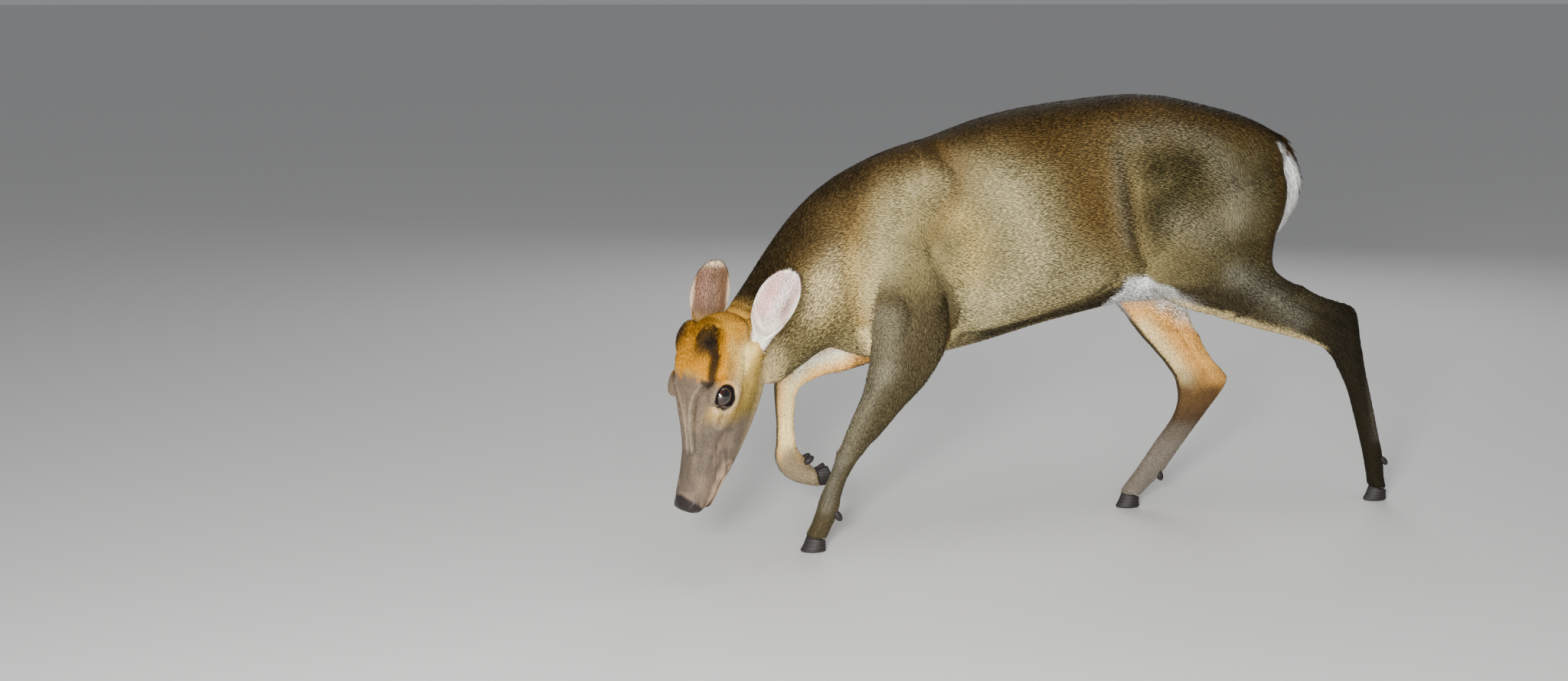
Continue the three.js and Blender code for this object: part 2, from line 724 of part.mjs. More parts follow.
// The origin is the middle of the box, on the floor
group.updateMatrixWorld(true);
const box = new THREE.Box3().setFromObject(group, true);
const middle = box.getCenter(new THREE.Vector3());
stance.position.set(-middle.x, -middle.y, -box.min.z);

export default group;
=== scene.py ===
"""The looks of a walking muntjac: one skin, a coat of closed tufts, eyes and hooves."""

import math

import bpy
import numpy as np
from mathutils import Matrix, Vector
from mathutils.bvhtree import BVHTree


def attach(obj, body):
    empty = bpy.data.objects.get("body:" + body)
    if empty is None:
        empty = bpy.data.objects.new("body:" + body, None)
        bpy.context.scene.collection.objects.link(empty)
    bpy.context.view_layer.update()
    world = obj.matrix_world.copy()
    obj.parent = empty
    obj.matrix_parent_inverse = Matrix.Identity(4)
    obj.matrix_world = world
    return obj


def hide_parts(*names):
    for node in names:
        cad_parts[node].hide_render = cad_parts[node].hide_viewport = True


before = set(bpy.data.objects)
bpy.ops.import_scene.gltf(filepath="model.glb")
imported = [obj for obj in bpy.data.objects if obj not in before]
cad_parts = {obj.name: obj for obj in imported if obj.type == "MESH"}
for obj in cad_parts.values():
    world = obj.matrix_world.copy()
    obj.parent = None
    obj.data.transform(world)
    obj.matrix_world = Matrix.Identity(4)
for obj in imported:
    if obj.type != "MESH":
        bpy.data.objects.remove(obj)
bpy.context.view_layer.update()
random = np.random.default_rng(7)

# The stance is drawn in millimetres round the left forefoot. SHIFT takes it to the frame's origin.
SHIFT = np.array([-347.3, 24.5, 0.0])
SIDES = (-1, 1)
# large odd numbers that mix the three numbers of a grid cell into one key
HASH = (73856093, 19349663, 83492791)


def by_run(full):
    """The value for a full run, given back as it is."""
    return full


def to_frame(points):
    """Millimetres of the stance to metres of the frame."""
    return (np.asarray(points, float) + SHIFT) / 1000


def to_stance(points):
    """Metres of the frame to millimetres of the stance."""
    return np.asarray(points, float) * 1000 - SHIFT


# Camera

CAMERA_AT = (-751.9, -2261.9, 720.0)
CAMERA_AZIMUTH = math.radians(-18)
CAMERA_DOWN = math.radians(10.5)
CAMERA_LENS = 42.1875


def place_object(name, data, place, way):
    """A camera or lamp at a place, looking along a direction."""
    made = bpy.data.objects.new(name, data)
    bpy.context.scene.collection.objects.link(made)
    made.location = place
    made.rotation_mode = "QUATERNION"
    made.rotation_quaternion = way.to_track_quat("-Z", "Y")
    return made


camera_back = Vector((
    math.sin(CAMERA_AZIMUTH) * math.cos(CAMERA_DOWN),
    -math.cos(CAMERA_AZIMUTH) * math.cos(CAMERA_DOWN),
    math.sin(CAMERA_DOWN),
))
camera = place_object(
    "camera", bpy.data.cameras.new("camera"), Vector(to_frame(CAMERA_AT)), -camera_back
)
bpy.context.scene.camera = camera
camera.data.sensor_width = 36
camera.data.lens = CAMERA_LENS

# Meshes from arrays


def make_mesh(name, points, faces):
    """A mesh from an array of points and one of triangles or of quads."""
    mesh = bpy.data.meshes.new(name)
    size = faces.shape[1]
    mesh.vertices.add(len(points))
    mesh.vertices.foreach_set("co", np.asarray(points, np.float32).ravel())
    mesh.loops.add(faces.size)
    mesh.loops.foreach_set("vertex_index", np.asarray(faces, np.int32).ravel())
    mesh.polygons.add(len(faces))
    mesh.polygons.foreach_set("loop_start", np.arange(0, faces.size, size, dtype=np.int32))
    mesh.polygons.foreach_set("use_smooth", np.ones(len(faces), bool))
    mesh.update(calc_edges=True)
    mesh.validate()
    return mesh


def make_object(name, mesh, material=None):
    made = bpy.data.objects.new(name, mesh)
    bpy.context.scene.collection.objects.link(made)
    if material:
        mesh.materials.append(material)
    return made


def points_of(mesh):
    found = np.empty(len(mesh.vertices) * 3, np.float32)
    mesh.vertices.foreach_get("co", found)
    return found.reshape(-1, 3).astype(float)


def triangles_of(mesh):
    mesh.calc_loop_triangles()
    found = np.empty(len(mesh.loop_triangles) * 3, np.int32)
    mesh.loop_triangles.foreach_get("vertices", found)
    return found.reshape(-1, 3)


def norm(vectors):
    return np.linalg.norm(vectors, axis=1)


def circle(count):
    """Angles spread evenly round a circle."""
    return np.linspace(0, 2 * math.pi, count, endpoint=False)


def node_shape(name):
    """A node's points and triangles."""
    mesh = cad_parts[name].data
    return points_of(mesh), triangles_of(mesh)


def unit(vectors):
    return vectors / np.maximum(np.linalg.norm(vectors, axis=-1, keepdims=True), 1e-12)


def normals_of(points, faces):
    a, b, c = (points[faces[:, k]] for k in range(3))
    across = np.cross(b - a, c - a)
    total = np.zeros_like(points)
    for k in range(3):
        for axis in range(3):
            total[:, axis] += np.bincount(faces[:, k], across[:, axis], len(points))
    return unit(total)


class Web:
    """The edges of a mesh, for smoothing places and values over it."""

    def __init__(self, faces, count):
        pairs = np.vstack([faces[:, [0, 1]], faces[:, [1, 2]], faces[:, [2, 0]]])
        pairs = np.unique(np.sort(pairs, axis=1), axis=0)
        self.a, self.b = pairs[:, 0], pairs[:, 1]
        self.count = count
        self.degree = np.maximum(
            np.bincount(self.a, minlength=count) + np.bincount(self.b, minlength=count), 1
        )

    def mean(self, values):
        values = values.reshape(self.count, -1)
        total = np.empty_like(values, dtype=float)
        for k in range(values.shape[1]):
            column = values[:, k]
            total[:, k] = np.bincount(self.a, column[self.b], self.count)
            total[:, k] += np.bincount(self.b, column[self.a], self.count)
        return total / self.degree[:, None]

    def smooth(self, values, turns, share=0.5):
        shape = values.shape
        out = values.reshape(self.count, -1).astype(float)
        share = np.broadcast_to(np.asarray(share, float).reshape(-1, 1), (self.count, 1))
        for _ in range(turns):
            out = out + share * (self.mean(out) - out)
        return out.reshape(shape)


# Lofts from sections, as the solids have them


def spread(rows, steps):
    """Rows between the given ones, on a Catmull-Rom curve."""
    rows = np.asarray(rows, float)
    out = []
    for i in range(len(rows) - 1):
        p, q, r, s = (rows[min(max(k, 0), len(rows) - 1)] for k in (i - 1, i, i + 1, i + 2))
        for t in np.arange(steps) / steps:
            out.append(0.5 * (
                2 * q + (r - p) * t + (2 * p - 5 * q + 4 * r - s) * t**2
                + (3 * q - p - 3 * r + s) * t**3
            ))
    return np.array([*out, rows[-1]])


def ring_of(row, sides):
    top_x, top_z, low_x, low_z, y, half, square, turn = row
    angle = circle(sides)
    up = np.sign(np.cos(angle)) * np.abs(np.cos(angle)) ** (2 / square)
    side = half * (np.sign(np.sin(angle)) * np.abs(np.sin(angle)) ** (2 / square))
    yaw = math.radians(turn)
    return np.stack([
        (top_x + low_x) / 2 + (top_x - low_x) / 2 * up - math.sin(yaw) * side,
        y + math.cos(yaw) * side,
        (top_z + low_z) / 2 + (top_z - low_z) / 2 * up,
    ], axis=1)


def tube(rings):
    """A closed tube of triangles through rings of the same number of points."""
    rings = np.asarray(rings, float)
    count, sides = rings.shape[:2]
    points = rings.reshape(-1, 3)
    j = np.arange(sides)
    after = (j + 1) % sides
    faces = []
    for i in range(count - 1):
        a, b = i * sides + j, i * sides + after
        faces += [np.stack([a, b, b + sides], 1), np.stack([a, b + sides, a + sides], 1)]
    first, last = len(points), len(points) + 1
    end = (count - 1) * sides
    faces.append(np.stack([np.full(sides, first), after, j], 1))
    faces.append(np.stack([np.full(sides, last), end + j, end + after], 1))
    points = np.vstack([points, rings[0].mean(0), rings[-1].mean(0)])
    faces = np.vstack(faces)
    a, b, c = (points[faces[:, k]] for k in range(3))
    if np.einsum("ij,ij->", a, np.cross(b, c)) < 0:
        faces = faces[:, [0, 2, 1]]
    return points, faces


def loft(rows, sides=56, steps=5):
    return tube([ring_of(row, sides) for row in spread(rows, steps)])


def rod(line, radii, sides=12, steps=5):
    """A round rod through points with its own radius at each."""
    rows = spread(np.column_stack([line, radii]), steps)
    middle, radius = rows[:, :3], rows[:, 3]
    along = unit(np.gradient(middle, axis=0))
    side = unit(np.cross(along, [0.31, 0.2, 0.93]))
    other = np.cross(along, side)
    angle = circle(sides)
    return tube([
        m + r * (np.cos(angle)[:, None] * s + np.sin(angle)[:, None] * o)
        for m, r, s, o in zip(middle, radius, side, other)
    ])


def ball(centre, radii, sides=24, rows=16):
    angle = circle(sides)
    rings = [
        np.stack([
            np.sin(tilt) * np.cos(angle),
            np.sin(tilt) * np.sin(angle),
            np.full(sides, np.cos(tilt)),
        ], 1)
        for tilt in np.linspace(0.04, math.pi - 0.04, rows)
    ]
    points, faces = tube(rings)
    return points * radii + centre, faces


def joined(parts):
    """Several (points, faces) as one."""
    points, faces, start = [], [], 0
    for p, f in parts:
        points.append(p)
        faces.append(f + start)
        start += len(p)
    return np.vstack(points), np.vstack(faces)


def remeshed(points, faces, voxel):
    """One closed surface round everything, as points and triangles in metres."""
    mesh = make_mesh("rough", points, faces)
    rough = make_object("rough", mesh)
    modifier = rough.modifiers.new("voxels", "REMESH")
    modifier.mode = "VOXEL"
    modifier.voxel_size = voxel
    modifier.adaptivity = 0
    graph = bpy.context.evaluated_depsgraph_get()
    made = bpy.data.meshes.new_from_object(rough.evaluated_get(graph))
    out = points_of(made), triangles_of(made)
    bpy.data.objects.remove(rough)
    bpy.data.meshes.remove(made)
    bpy.data.meshes.remove(mesh)
    return out


def tree_of(points, faces):
    return BVHTree.FromPolygons(points.tolist(), faces.tolist(), all_triangles=True)


def largest_shell(points, faces):
    """Only the largest connected surface."""
    label = np.arange(len(points))
    while True:
        low = label.copy()
        least = label[faces].min(1)
        for k in range(3):
            np.minimum.at(low, faces[:, k], least)
        low = low[low]
        if (low == label).all():
            break
        label = low
    names, counts = np.unique(label, return_counts=True)
    used, faces = kept(faces, label == names[counts.argmax()])
    return points[used], faces


def kept(faces, mask):
    """The points used by the faces that lie in the mask, and those faces with their numbers."""
    faces = faces[mask[faces].all(1)]
    used = np.unique(faces)
    number = np.zeros(len(mask), int)
    number[used] = np.arange(len(used))
    return used, number[faces]


# The head's own frame: nose to -X, left to -Y, the midpoint of the eyes at 0

HEAD_AT = np.array([-161.0, -115.0, 245.0])
HEAD_ROLL, HEAD_PITCH, HEAD_TURN = (math.radians(a) for a in (-1.1, -74.1, 22.6))
HEAD_AXES = np.array(
    Matrix.Rotation(HEAD_TURN, 3, "Z")
    @ Matrix.Rotation(HEAD_PITCH, 3, "Y")
    @ Matrix.Rotation(HEAD_ROLL, 3, "X")
)


def head_to_stance(points):
    return np.asarray(points, float) @ HEAD_AXES.T + HEAD_AT


def stance_to_head(points):
    return (np.asarray(points, float) - HEAD_AT) @ HEAD_AXES


EYE_RADIUS = 14.5
EYE_OUT = 36.0

# Rings of a loft: top x and z, bottom x and z, y, half the width, squareness and turn
SKULL = [
    (-152, -9, -153, -22, 0, 8, 2, 0),
    (-149, -3, -150, -31, 0, 15.5, 2.4, 0),
    (-139, -1, -141, -36, 0, 20, 2.5, 0),
    (-122, -1, -122, -40, 0, 22.5, 2.5, 0),
    (-102, -1, -101, -44, 0, 25, 2.4, 0),
    (-80, 1, -78, -46, 0, 28, 2.3, 0),
    (-58, 8, -56, -47, 0, 32, 2.2, 0),
    (-34, 17, -34, -47, 0, 38.5, 2.1, 0),
    (-12, 25, -12, -46, 0, 44.5, 2.1, 0),
    (10, 32, 10, -46, 0, 46.5, 2.2, 0),
    (34, 37, 32, -46, 0, 44, 2.2, 0),
    (57, 36, 52, -46, 0, 41.5, 2.1, 0),
    (79, 22, 72, -45, 0, 39, 2, 0),
    (96, 0, 88, -40, 0, 31, 2, 0),
    (102, -14, 98, -32, 0, 14, 2, 0),
]
JAW = [
    (-143, -32, -143, -40, 0, 7.5, 2, 0),
    (-137, -26, -139, -46, 0, 13.5, 2.2, 0),
    (-118, -24, -120, -53, 0, 18, 2.2, 0),
    (-92, -20, -93, -61, 0, 24, 2.2, 0),
    (-62, -16, -63, -70, 0, 30, 2.1, 0),
    (-34, -12, -34, -76, 0, 35.5, 2.1, 0),
    (-6, -6, -6, -81, 0, 39.5, 2, 0),
    (20, 0, 22, -84, 0, 41, 2, 0),
    (44, 4, 50, -80, 0, 39, 2, 0),
    (66, 2, 72, -66, 0, 34, 2, 0),
    (84, -6, 88, -50, 0, 24, 2, 0),
]
# the end of the neck, in the stance
NAPE_RUN = [
    (-2, 453, 36, 268, -16, 57, 2, 17),
    (-42, 410, 8, 263, -34, 50, 2, 25),
    (-80, 370, -24, 252, -60, 44, 2, 31),
    (-108, 346, -58, 242, -84, 38, 2, 34),
    (-128, 322, -86, 246, -98, 31, 2, 35),
]
# a place at the nape, the way out to the nose there, and where the seam lies along it, in mm
NAPE_AT = np.array([-88.0, -79.0, 294.0])
NAPE_OUT = unit(np.array([-0.72, -0.49, -0.41]))
NAPE_SEAM = -30.0

EAR_LENGTH = 101.0
EAR_WIDTH = 49.5
EAR_WALL = 2.4
EARS = {
    "left": ((71, -35, -46), (0.97, -0.02, -0.25), (0.13, -0.69, 0.71)),
    "right": ((64, 34, -27), (0.97, 0.22, 0.06), (0.08, -0.57, 0.82)),
}
# distance up the ear, share of its width, half the angle that it wraps
EAR_STATIONS = np.array([
    (-0.1, 0.3, 160), (0, 0.42, 155), (0.1, 0.54, 135), (0.24, 0.82, 98), (0.42, 1.0, 70),
    (0.6, 1.04, 56), (0.76, 0.93, 48), (0.88, 0.72, 42), (0.96, 0.46, 36), (1, 0.2, 30),
])


def ear_axes(name):
    base, along, face = (np.array(v, float) for v in EARS[name])
    along = unit(along)
    face = unit(face - face @ along * along)
    return base, along, face, np.cross(along, face)


def ear_shape(name):
    base, along, face, across = ear_axes(name)
    rings = []
    for u, wide, wrap in spread(EAR_STATIONS, 6):
        bend = math.radians(wrap)
        radius = wide * EAR_WIDTH / 2 / math.sin(min(bend, math.pi / 2))
        wall = min(EAR_WALL, radius * 0.4)
        centre = base + along * u * EAR_LENGTH
        lean = 8 * math.sin(math.pi * u) - 8 * u * u
        centre = centre + face * (lean + radius * (1 + min(u, 0) * 4))
        half = 34
        angle = bend * (2 * np.arange(half + 1) / half - 1)

        def at(r, a):
            return centre + across * (r * np.sin(a))[:, None] - face * (r * np.cos(a))[:, None]

        folds = 0.7 * np.cos(3 * math.pi * angle / bend) * math.sin(math.pi * min(max(u, 0), 1))
        outer = at(np.full(half + 1, radius), angle)
        inner = at(radius - wall - folds, angle * 0.97)
        if u < 0.1:
            t = (np.arange(half + 1) / half)[:, None]
            inner = inner[0] * (1 - t) + inner[-1] * t
        rings.append(np.vstack([outer, inner[::-1]]))
    return tube(rings)


def lid_shape(side):
    """The rim round an eye: an almond with a long front corner, thicker above."""
    around, sides = 64, 12
    a, b = circle(around)[:, None], circle(sides)[None, :]
    thick = 2.5 + 0.5 * np.clip(np.sin(a), 0, 1)
    reach = thick * np.cos(b)
    corner = np.exp(-(((a - math.pi) / 0.3) ** 2))
    x = np.cos(a) * (14.2 + reach) - 3.2 * corner
    z = np.sin(a) * (12.0 + reach) * (1 - 0.14 * np.cos(a) ** 2) - 1.6 * corner
    away = 0.0165 * (x * x + z * z)
    y = side * (EYE_OUT + 9.4 + thick * np.sin(b) - away + 0.06 * x)
    points = np.stack([x, y, z], -1).reshape(-1, 3)
    i, j = np.meshgrid(np.arange(around), np.arange(sides), indexing="ij")
    i, j = i.ravel(), j.ravel()
    k, m = (i + 1) % around, (j + 1) % sides
    quad = [i * sides + j, i * sides + m, k * sides + m, k * sides + j]
    faces = np.vstack([
        np.stack([quad[0], quad[1], quad[2]], 1), np.stack([quad[0], quad[2], quad[3]], 1)
    ])
    if side > 0:
        faces = faces[:, [0, 2, 1]]
    return points, faces


def line_distance(points, line):
    """Distance from each point to a line of points, and how far along it the nearest place is."""
    line = np.asarray(line, float)
    best = np.full(len(points), 1e9)
    share = np.zeros(len(points))
    for i in range(len(line) - 1):
        step = line[i + 1] - line[i]
        t = np.clip((points - line[i]) @ step / (step @ step), 0, 1)
        gap = norm(points - line[i] - t[:, None] * step)
        near = gap < best
        best[near] = gap[near]
        share[near] = (i + t[near]) / (len(line) - 1)
    return best, share


def mirrored(line, side):
    return np.asarray(line, float) * (1, side, 1)


def snapped(line, side, points):
    """A line for one side of the head, laid on the points of the skin."""
    rows = spread(mirrored(line, side), 3) if len(line) > 2 else mirrored(line, side)
    nearest = [norm(points - row).argmin() for row in rows]
    return points[nearest]


# Head

head_parts = [loft(SKULL), loft(JAW, 48)]
for side in SIDES:
    head_parts += [
        ball((56, side * 21, 25), (25, 13, 13)),
        ball((3, side * 38, 12), (18, 7.5, 6.5)),
        rod(
            mirrored([(-146, 8, -29), (-132, 17, -34), (-112, 21, -38), (-90, 25.5, -43)], side),
            (2.5, 3.6, 3.8, 2),
        ),
        lid_shape(side),
    ]
for name in EARS:
    base, along, face, across = ear_axes(name)
    head_parts += [
        ball(base - along * 9 + face * 5, (17, 13, 13)),
        ball((60, base[1] * 0.62, -18), (26, 14, 22)),
        ball((62, base[1] * 0.5, -40), (38, 17, 27)),
    ]
head_points, head_faces = joined(head_parts)
nape_points, nape_faces = loft(NAPE_RUN, 64, 8)
head_points, head_faces = joined([
    (to_frame(head_to_stance(head_points)), head_faces), (to_frame(nape_points), nape_faces)
])
HEAD_VOXEL = by_run(0.0013)
head_points, head_faces = remeshed(head_points, head_faces, HEAD_VOXEL)
head_points, head_faces = largest_shell(head_points, head_faces)
ear_parts = [ear_shape(name) for name in EARS]
ear_points, ear_faces = joined([(to_frame(head_to_stance(p)), f) for p, f in ear_parts])
first_ear = len(head_points)
head_points, head_faces = joined([(head_points, head_faces), (ear_points, ear_faces)])

# Body

# metres by which each solid grows, so that neighbours overlap and join
GROW = 0.0004
BODY_NODES = ["head", "neck", "torso", "tail"]
for leg, bones in (("foreleg", ("upper", "lower")), ("hindleg", ("thigh", "shank", "cannon"))):
    BODY_NODES += [f"{side}_{leg}_{bone}" for side in ("left", "right") for bone in bones]
body_parts = []
for name in BODY_NODES:
    points, faces = node_shape(name)
    places, back = np.unique(points.round(6), axis=0, return_inverse=True)
    faces = back.reshape(-1)[faces]
    body_parts.append((places + normals_of(places, faces) * GROW, faces))
BODY_VOXEL = by_run(0.0031)
body_points, body_faces = remeshed(*joined(body_parts), BODY_VOXEL)
body_points, body_faces = largest_shell(body_points, body_faces)

# Which node each point of a skin lies nearest to

node_names = BODY_NODES + ["ear_left", "ear_right"]
node_shapes = [node_shape(name) for name in node_names]
face_node = np.repeat(np.arange(len(node_names)), [len(faces) for _, faces in node_shapes])
node_tree = tree_of(*joined(node_shapes))


def nearest_node(points):
    """The number of the nearest node for each point of the frame."""
    return np.array([face_node[node_tree.find_nearest(p)[2]] for p in points.tolist()])


def node_mask(numbers, *words):
    """1 where the nearest node's name holds one of the words."""
    wanted = [any(w in name for w in words) for name in node_names]
    return np.array(wanted, float)[numbers]


def bell(distance, width):
    return np.exp(-((distance / width) ** 2))


def step(value, low, high):
    """0 below low, 1 above high, smooth between."""
    t = np.clip((value - low) / (high - low), 0, 1)
    return t * t * (3 - 2 * t)


def fall(value, low, high):
    """1 below low, 0 above high, smooth between."""
    return 1 - step(value, low, high)


# Forms under the coat, by the side they are on (0 for both) and the words of the nodes that carry
# them: lines seen from the side in the stance, as x and z, each with its width and height
TRUNK = ("torso", "neck", "thigh", "foreleg_upper")
SIDE_FORMS = {
    (0, TRUNK): [
        # shoulder blade, its rear edge, the shoulder's point and the hollow of the neck
        ([(150, 498), (176, 496)], 28, 3.4),
        ([(182, 524), (196, 502), (193, 478), (170, 456), (152, 430)], 14, -5.2),
        ([(110, 500), (98, 450), (92, 400), (92, 345)], 17, 3.6),
        ([(60, 455), (46, 400), (60, 348), (66, 310)], 18, -3.0),
        ([(10, 400), (18, 355)], 22, 2.5),
        # the arm over the ribs, and the crease behind it
        ([(132, 392), (150, 345), (148, 300)], 22, 3.5),
        ([(152, 425), (160, 385), (178, 345), (188, 305), (186, 276)], 9, -5.0),
        ([(112, 352), (122, 318), (112, 285)], 7, -2.5),
        ([(96, 330), (96, 270), (86, 225)], 13, 3.0),
        # ribs
        ([(212, 524), (240, 503), (268, 474), (292, 430), (306, 385), (278, 345),
          (240, 322)], 26, 3.6),
        ([(214, 440), (214, 395), (200, 352)], 20, -2.2),
        ([(350, 530), (350, 470), (360, 400)], 30, -1.8),
        # the lower edge of the flank over the belly
        ([(215, 292), (269, 300), (316, 311), (373, 330), (410, 352)], 9, 3.4),
        ([(215, 280), (269, 287), (316, 296), (373, 312), (418, 336)], 7, -4.5),
        # the fold of the flank before the thigh
        ([(408, 520), (410, 458), (424, 402), (448, 366), (490, 338)], 13, 3.0),
        ([(434, 490), (441, 432), (456, 388), (476, 360)], 14, -3.6),
        # hip bone, croup, thigh and buttock
        ([(438, 545), (500, 553), (560, 532)], 18, 3.2),
        ([(470, 500), (520, 508), (556, 490)], 20, -3.0),
        ([(500, 432), (540, 415), (575, 430)], 24, 3.5),
        ([(600, 500), (606, 450), (598, 395)], 12, -2.2),
        ([(640, 500), (646, 450), (636, 400)], 18, 2.4),
        ([(540, 330), (590, 352), (640, 372)], 12, -2.0),
    ],
    # near hind leg: the shank's muscle, the groove before the tendon, and the bones of the hock
    (-1, ("hindleg",)): [
        ([(590, 352), (651, 318), (706, 280)], 17, 3.4),
        ([(700, 308), (745, 288), (790, 272)], 6, -3.4),
        ([(735, 262), (775, 252), (806, 238)], 6, -1.8),
        ([(800, 262), (812, 240)], 8, 2.4),
        ([(822, 215), (842, 160), (862, 95)], 3.2, -1.6),
    ],
    # far hind leg
    (1, ("hindleg",)): [
        ([(545, 262), (575, 225), (605, 190)], 14, 2.5),
        ([(590, 262), (620, 222), (645, 188)], 5, -3.0),
        ([(612, 168), (632, 160)], 8, 2.2),
        ([(622, 140), (590, 105), (556, 66)], 3.2, -1.6),
    ],
    # near foreleg: the groove of the forearm, the knee and the tendons behind the cannon
    (-1, ("foreleg",)): [
        ([(108, 262), (84, 205), (66, 168)], 5, -2.2),
        ([(52, 140), (46, 120)], 14, 1.1),
        ([(44, 108), (30, 72), (22, 46)], 3, -1.6),
    ],
    # far foreleg, which is lifted
    (1, ("foreleg",)): [
        ([(20, 232), (60, 246), (100, 262)], 6, -1.8),
        ([(-4, 196), (0, 212)], 9, 1.6),
        ([(-2, 180), (-2, 140), (6, 118)], 3, -1.5),
    ],
}


def plane_gap(stance, line):
    """Distance in the side view from each point to a line of x and z."""
    flat = np.column_stack([stance[:, 0], np.zeros(len(stance)), stance[:, 2]])
    return line_distance(flat, [(x, 0, z) for x, z in line])


def side_form(stance, normals, numbers):
    total = np.zeros(len(stance))
    facing = step(np.abs(normals[:, 1]), 0.1, 0.6)
    for (only, words), forms in SIDE_FORMS.items():
        near = node_mask(numbers, *words) > 0
        if only:
            near &= np.sign(stance[:, 1]) == only
        for line, width, height in forms:
            gap, share = plane_gap(stance[near], spread(line, 4) if len(line) > 2 else line)
            ends = step(share, -0.1, 0.2) * fall(share, 0.8, 1.1)
            total[near] += height * bell(gap, width) * (0.4 + 0.6 * ends) * facing[near]
    return total


body_web = Web(body_faces, len(body_points))
body_node = nearest_node(body_points)
trunk_share = body_web.smooth(node_mask(body_node, "torso", "neck", "thigh", "tail"), 12)
upper_share = body_web.smooth(node_mask(body_node, "foreleg_upper", "shank"), 8)
body_points = body_web.smooth(body_points, by_run(6))
flesh = np.clip(trunk_share + 0.35 * upper_share, 0, 1)
body_points = body_web.smooth(body_points, by_run(46), 0.5 * flesh)
knee_soft = bell(norm(to_stance(body_points) - (48, -56, 136)), 30)
body_points = body_web.smooth(body_points, by_run(40), 0.5 * knee_soft)
body_normals = normals_of(body_points, body_faces)

# Coat fields: depth under the coat's surface, and a tuft's length, width and spacing, in mm


def past_nape(points):
    """How far points lie past the nape towards the nose, in mm."""
    return (to_stance(points) - NAPE_AT) @ NAPE_OUT


def behind_jaw(local):
    """1 on the throat behind the jaw, where the coat is already the neck's."""
    return step(-local[:, 2], 46, 72) * step(local[:, 0], 22, 46)


# Of each field: trunk, upper leg, lower leg, less of it at the foot, tail, ear, skull, its change
# at the muzzle and at the crown
FIELDS = {
    "depth": (3.4, 3.1, 2.4, 1.0, 5.0, 0.1, 1, -0.6, 1.0),
    "length": (12.5, 11, 8.5, 3.3, 30, 5, 4.4, -1.9, 7),
    "width": (1.45, 1.3, 1.15, 0.25, 2.2, 0.6, 0.68, -0.2, 0.35),
    "spacing": (2.05, 1.95, 1.75, 0.2, 2.3, 1.45, 1.3, 0, 0.15),
}


def coat_fields(points, numbers, web, head):
    """The coat's depth and its tufts' length, width and spacing at each point of a skin."""
    stance = to_stance(points)
    local = stance_to_head(stance)
    leg, upper, tail, ear, skull = (node_mask(numbers, *words) for words in (
        ("leg",), ("upper", "thigh"), ("tail",), ("ear_",), ("head",)
    ))
    trunk = 1 - np.clip(leg + tail + ear + skull, 0, 1)
    low = fall(stance[:, 2], 90, 260)
    muzzle = fall(local[:, 0], -110, 0)
    crown = step(local[:, 0], 8, 45) * step(local[:, 2], 8, 26) * skull
    nape = fall(past_nape(points), NAPE_SEAM + 4, NAPE_SEAM + 52)
    nape = np.maximum(nape, behind_jaw(local)) * (1 - ear)
    fields = {}
    for name, (body, thigh, shank, less, brush, on_ear, face, nose, top) in FIELDS.items():
        field = body * trunk + thigh * upper + (shank - less * low) * (leg - upper)
        field = field + brush * tail + on_ear * ear + face * skull
        if head:
            field += skull * (nose * muzzle) + top * crown
            field += (body - field) * nape
            for side in EARS if name == "length" else ():
                base, along, _, _ = ear_axes(side)
                up = (local - base) @ along / EAR_LENGTH
                field += 6 * ear * fall(up, 0.1, 0.35) * (np.abs(local[:, 1] - base[1]) < 50)
        fields[name] = web.smooth(field, 14 if head else 10)
    return fields


body_fields = coat_fields(body_points, body_node, body_web, False)
body_stance = to_stance(body_points)
sole = step(body_stance[:, 2], 14, 40)
body_depth = body_fields["depth"] * (0.35 + 0.65 * sole)
# the near buttock stands back, so that the tail's white edge shows beside it
body_depth += (
    4.5 * step(body_normals[:, 0], 0.1, 0.6) * step(body_stance[:, 0], 620, 660)
    * step(body_stance[:, 2], 370, 410) * fall(body_stance[:, 2], 480, 520)
    * (1 - body_web.smooth(node_mask(body_node, "tail"), 4))
)
body_points = body_points + body_normals * (
    (side_form(body_stance, body_normals, body_node) - body_depth) / 1000
)[:, None]

# The head's folds

STRIPE = [(54, 32, 30), (45, 35, 23), (32, 37, 21), (22, 38, 20), (13, 38, 21), (5, 33, 24),
          (-3, 27, 25), (-11, 21, 25), (-21, 16, 21), (-34, 12, 16), (-50, 10, 11), (-76, 9, 4)]
GLAND = [(-15, 44, 2), (-21, 42.5, -4), (-29, 40, -7), (-37, 37.5, -8)]
MOUTH = [(-152, 2, -34), (-146, 11, -36), (-139, 17, -38.5), (-116, 23, -42.5), (-88, 26, -48)]
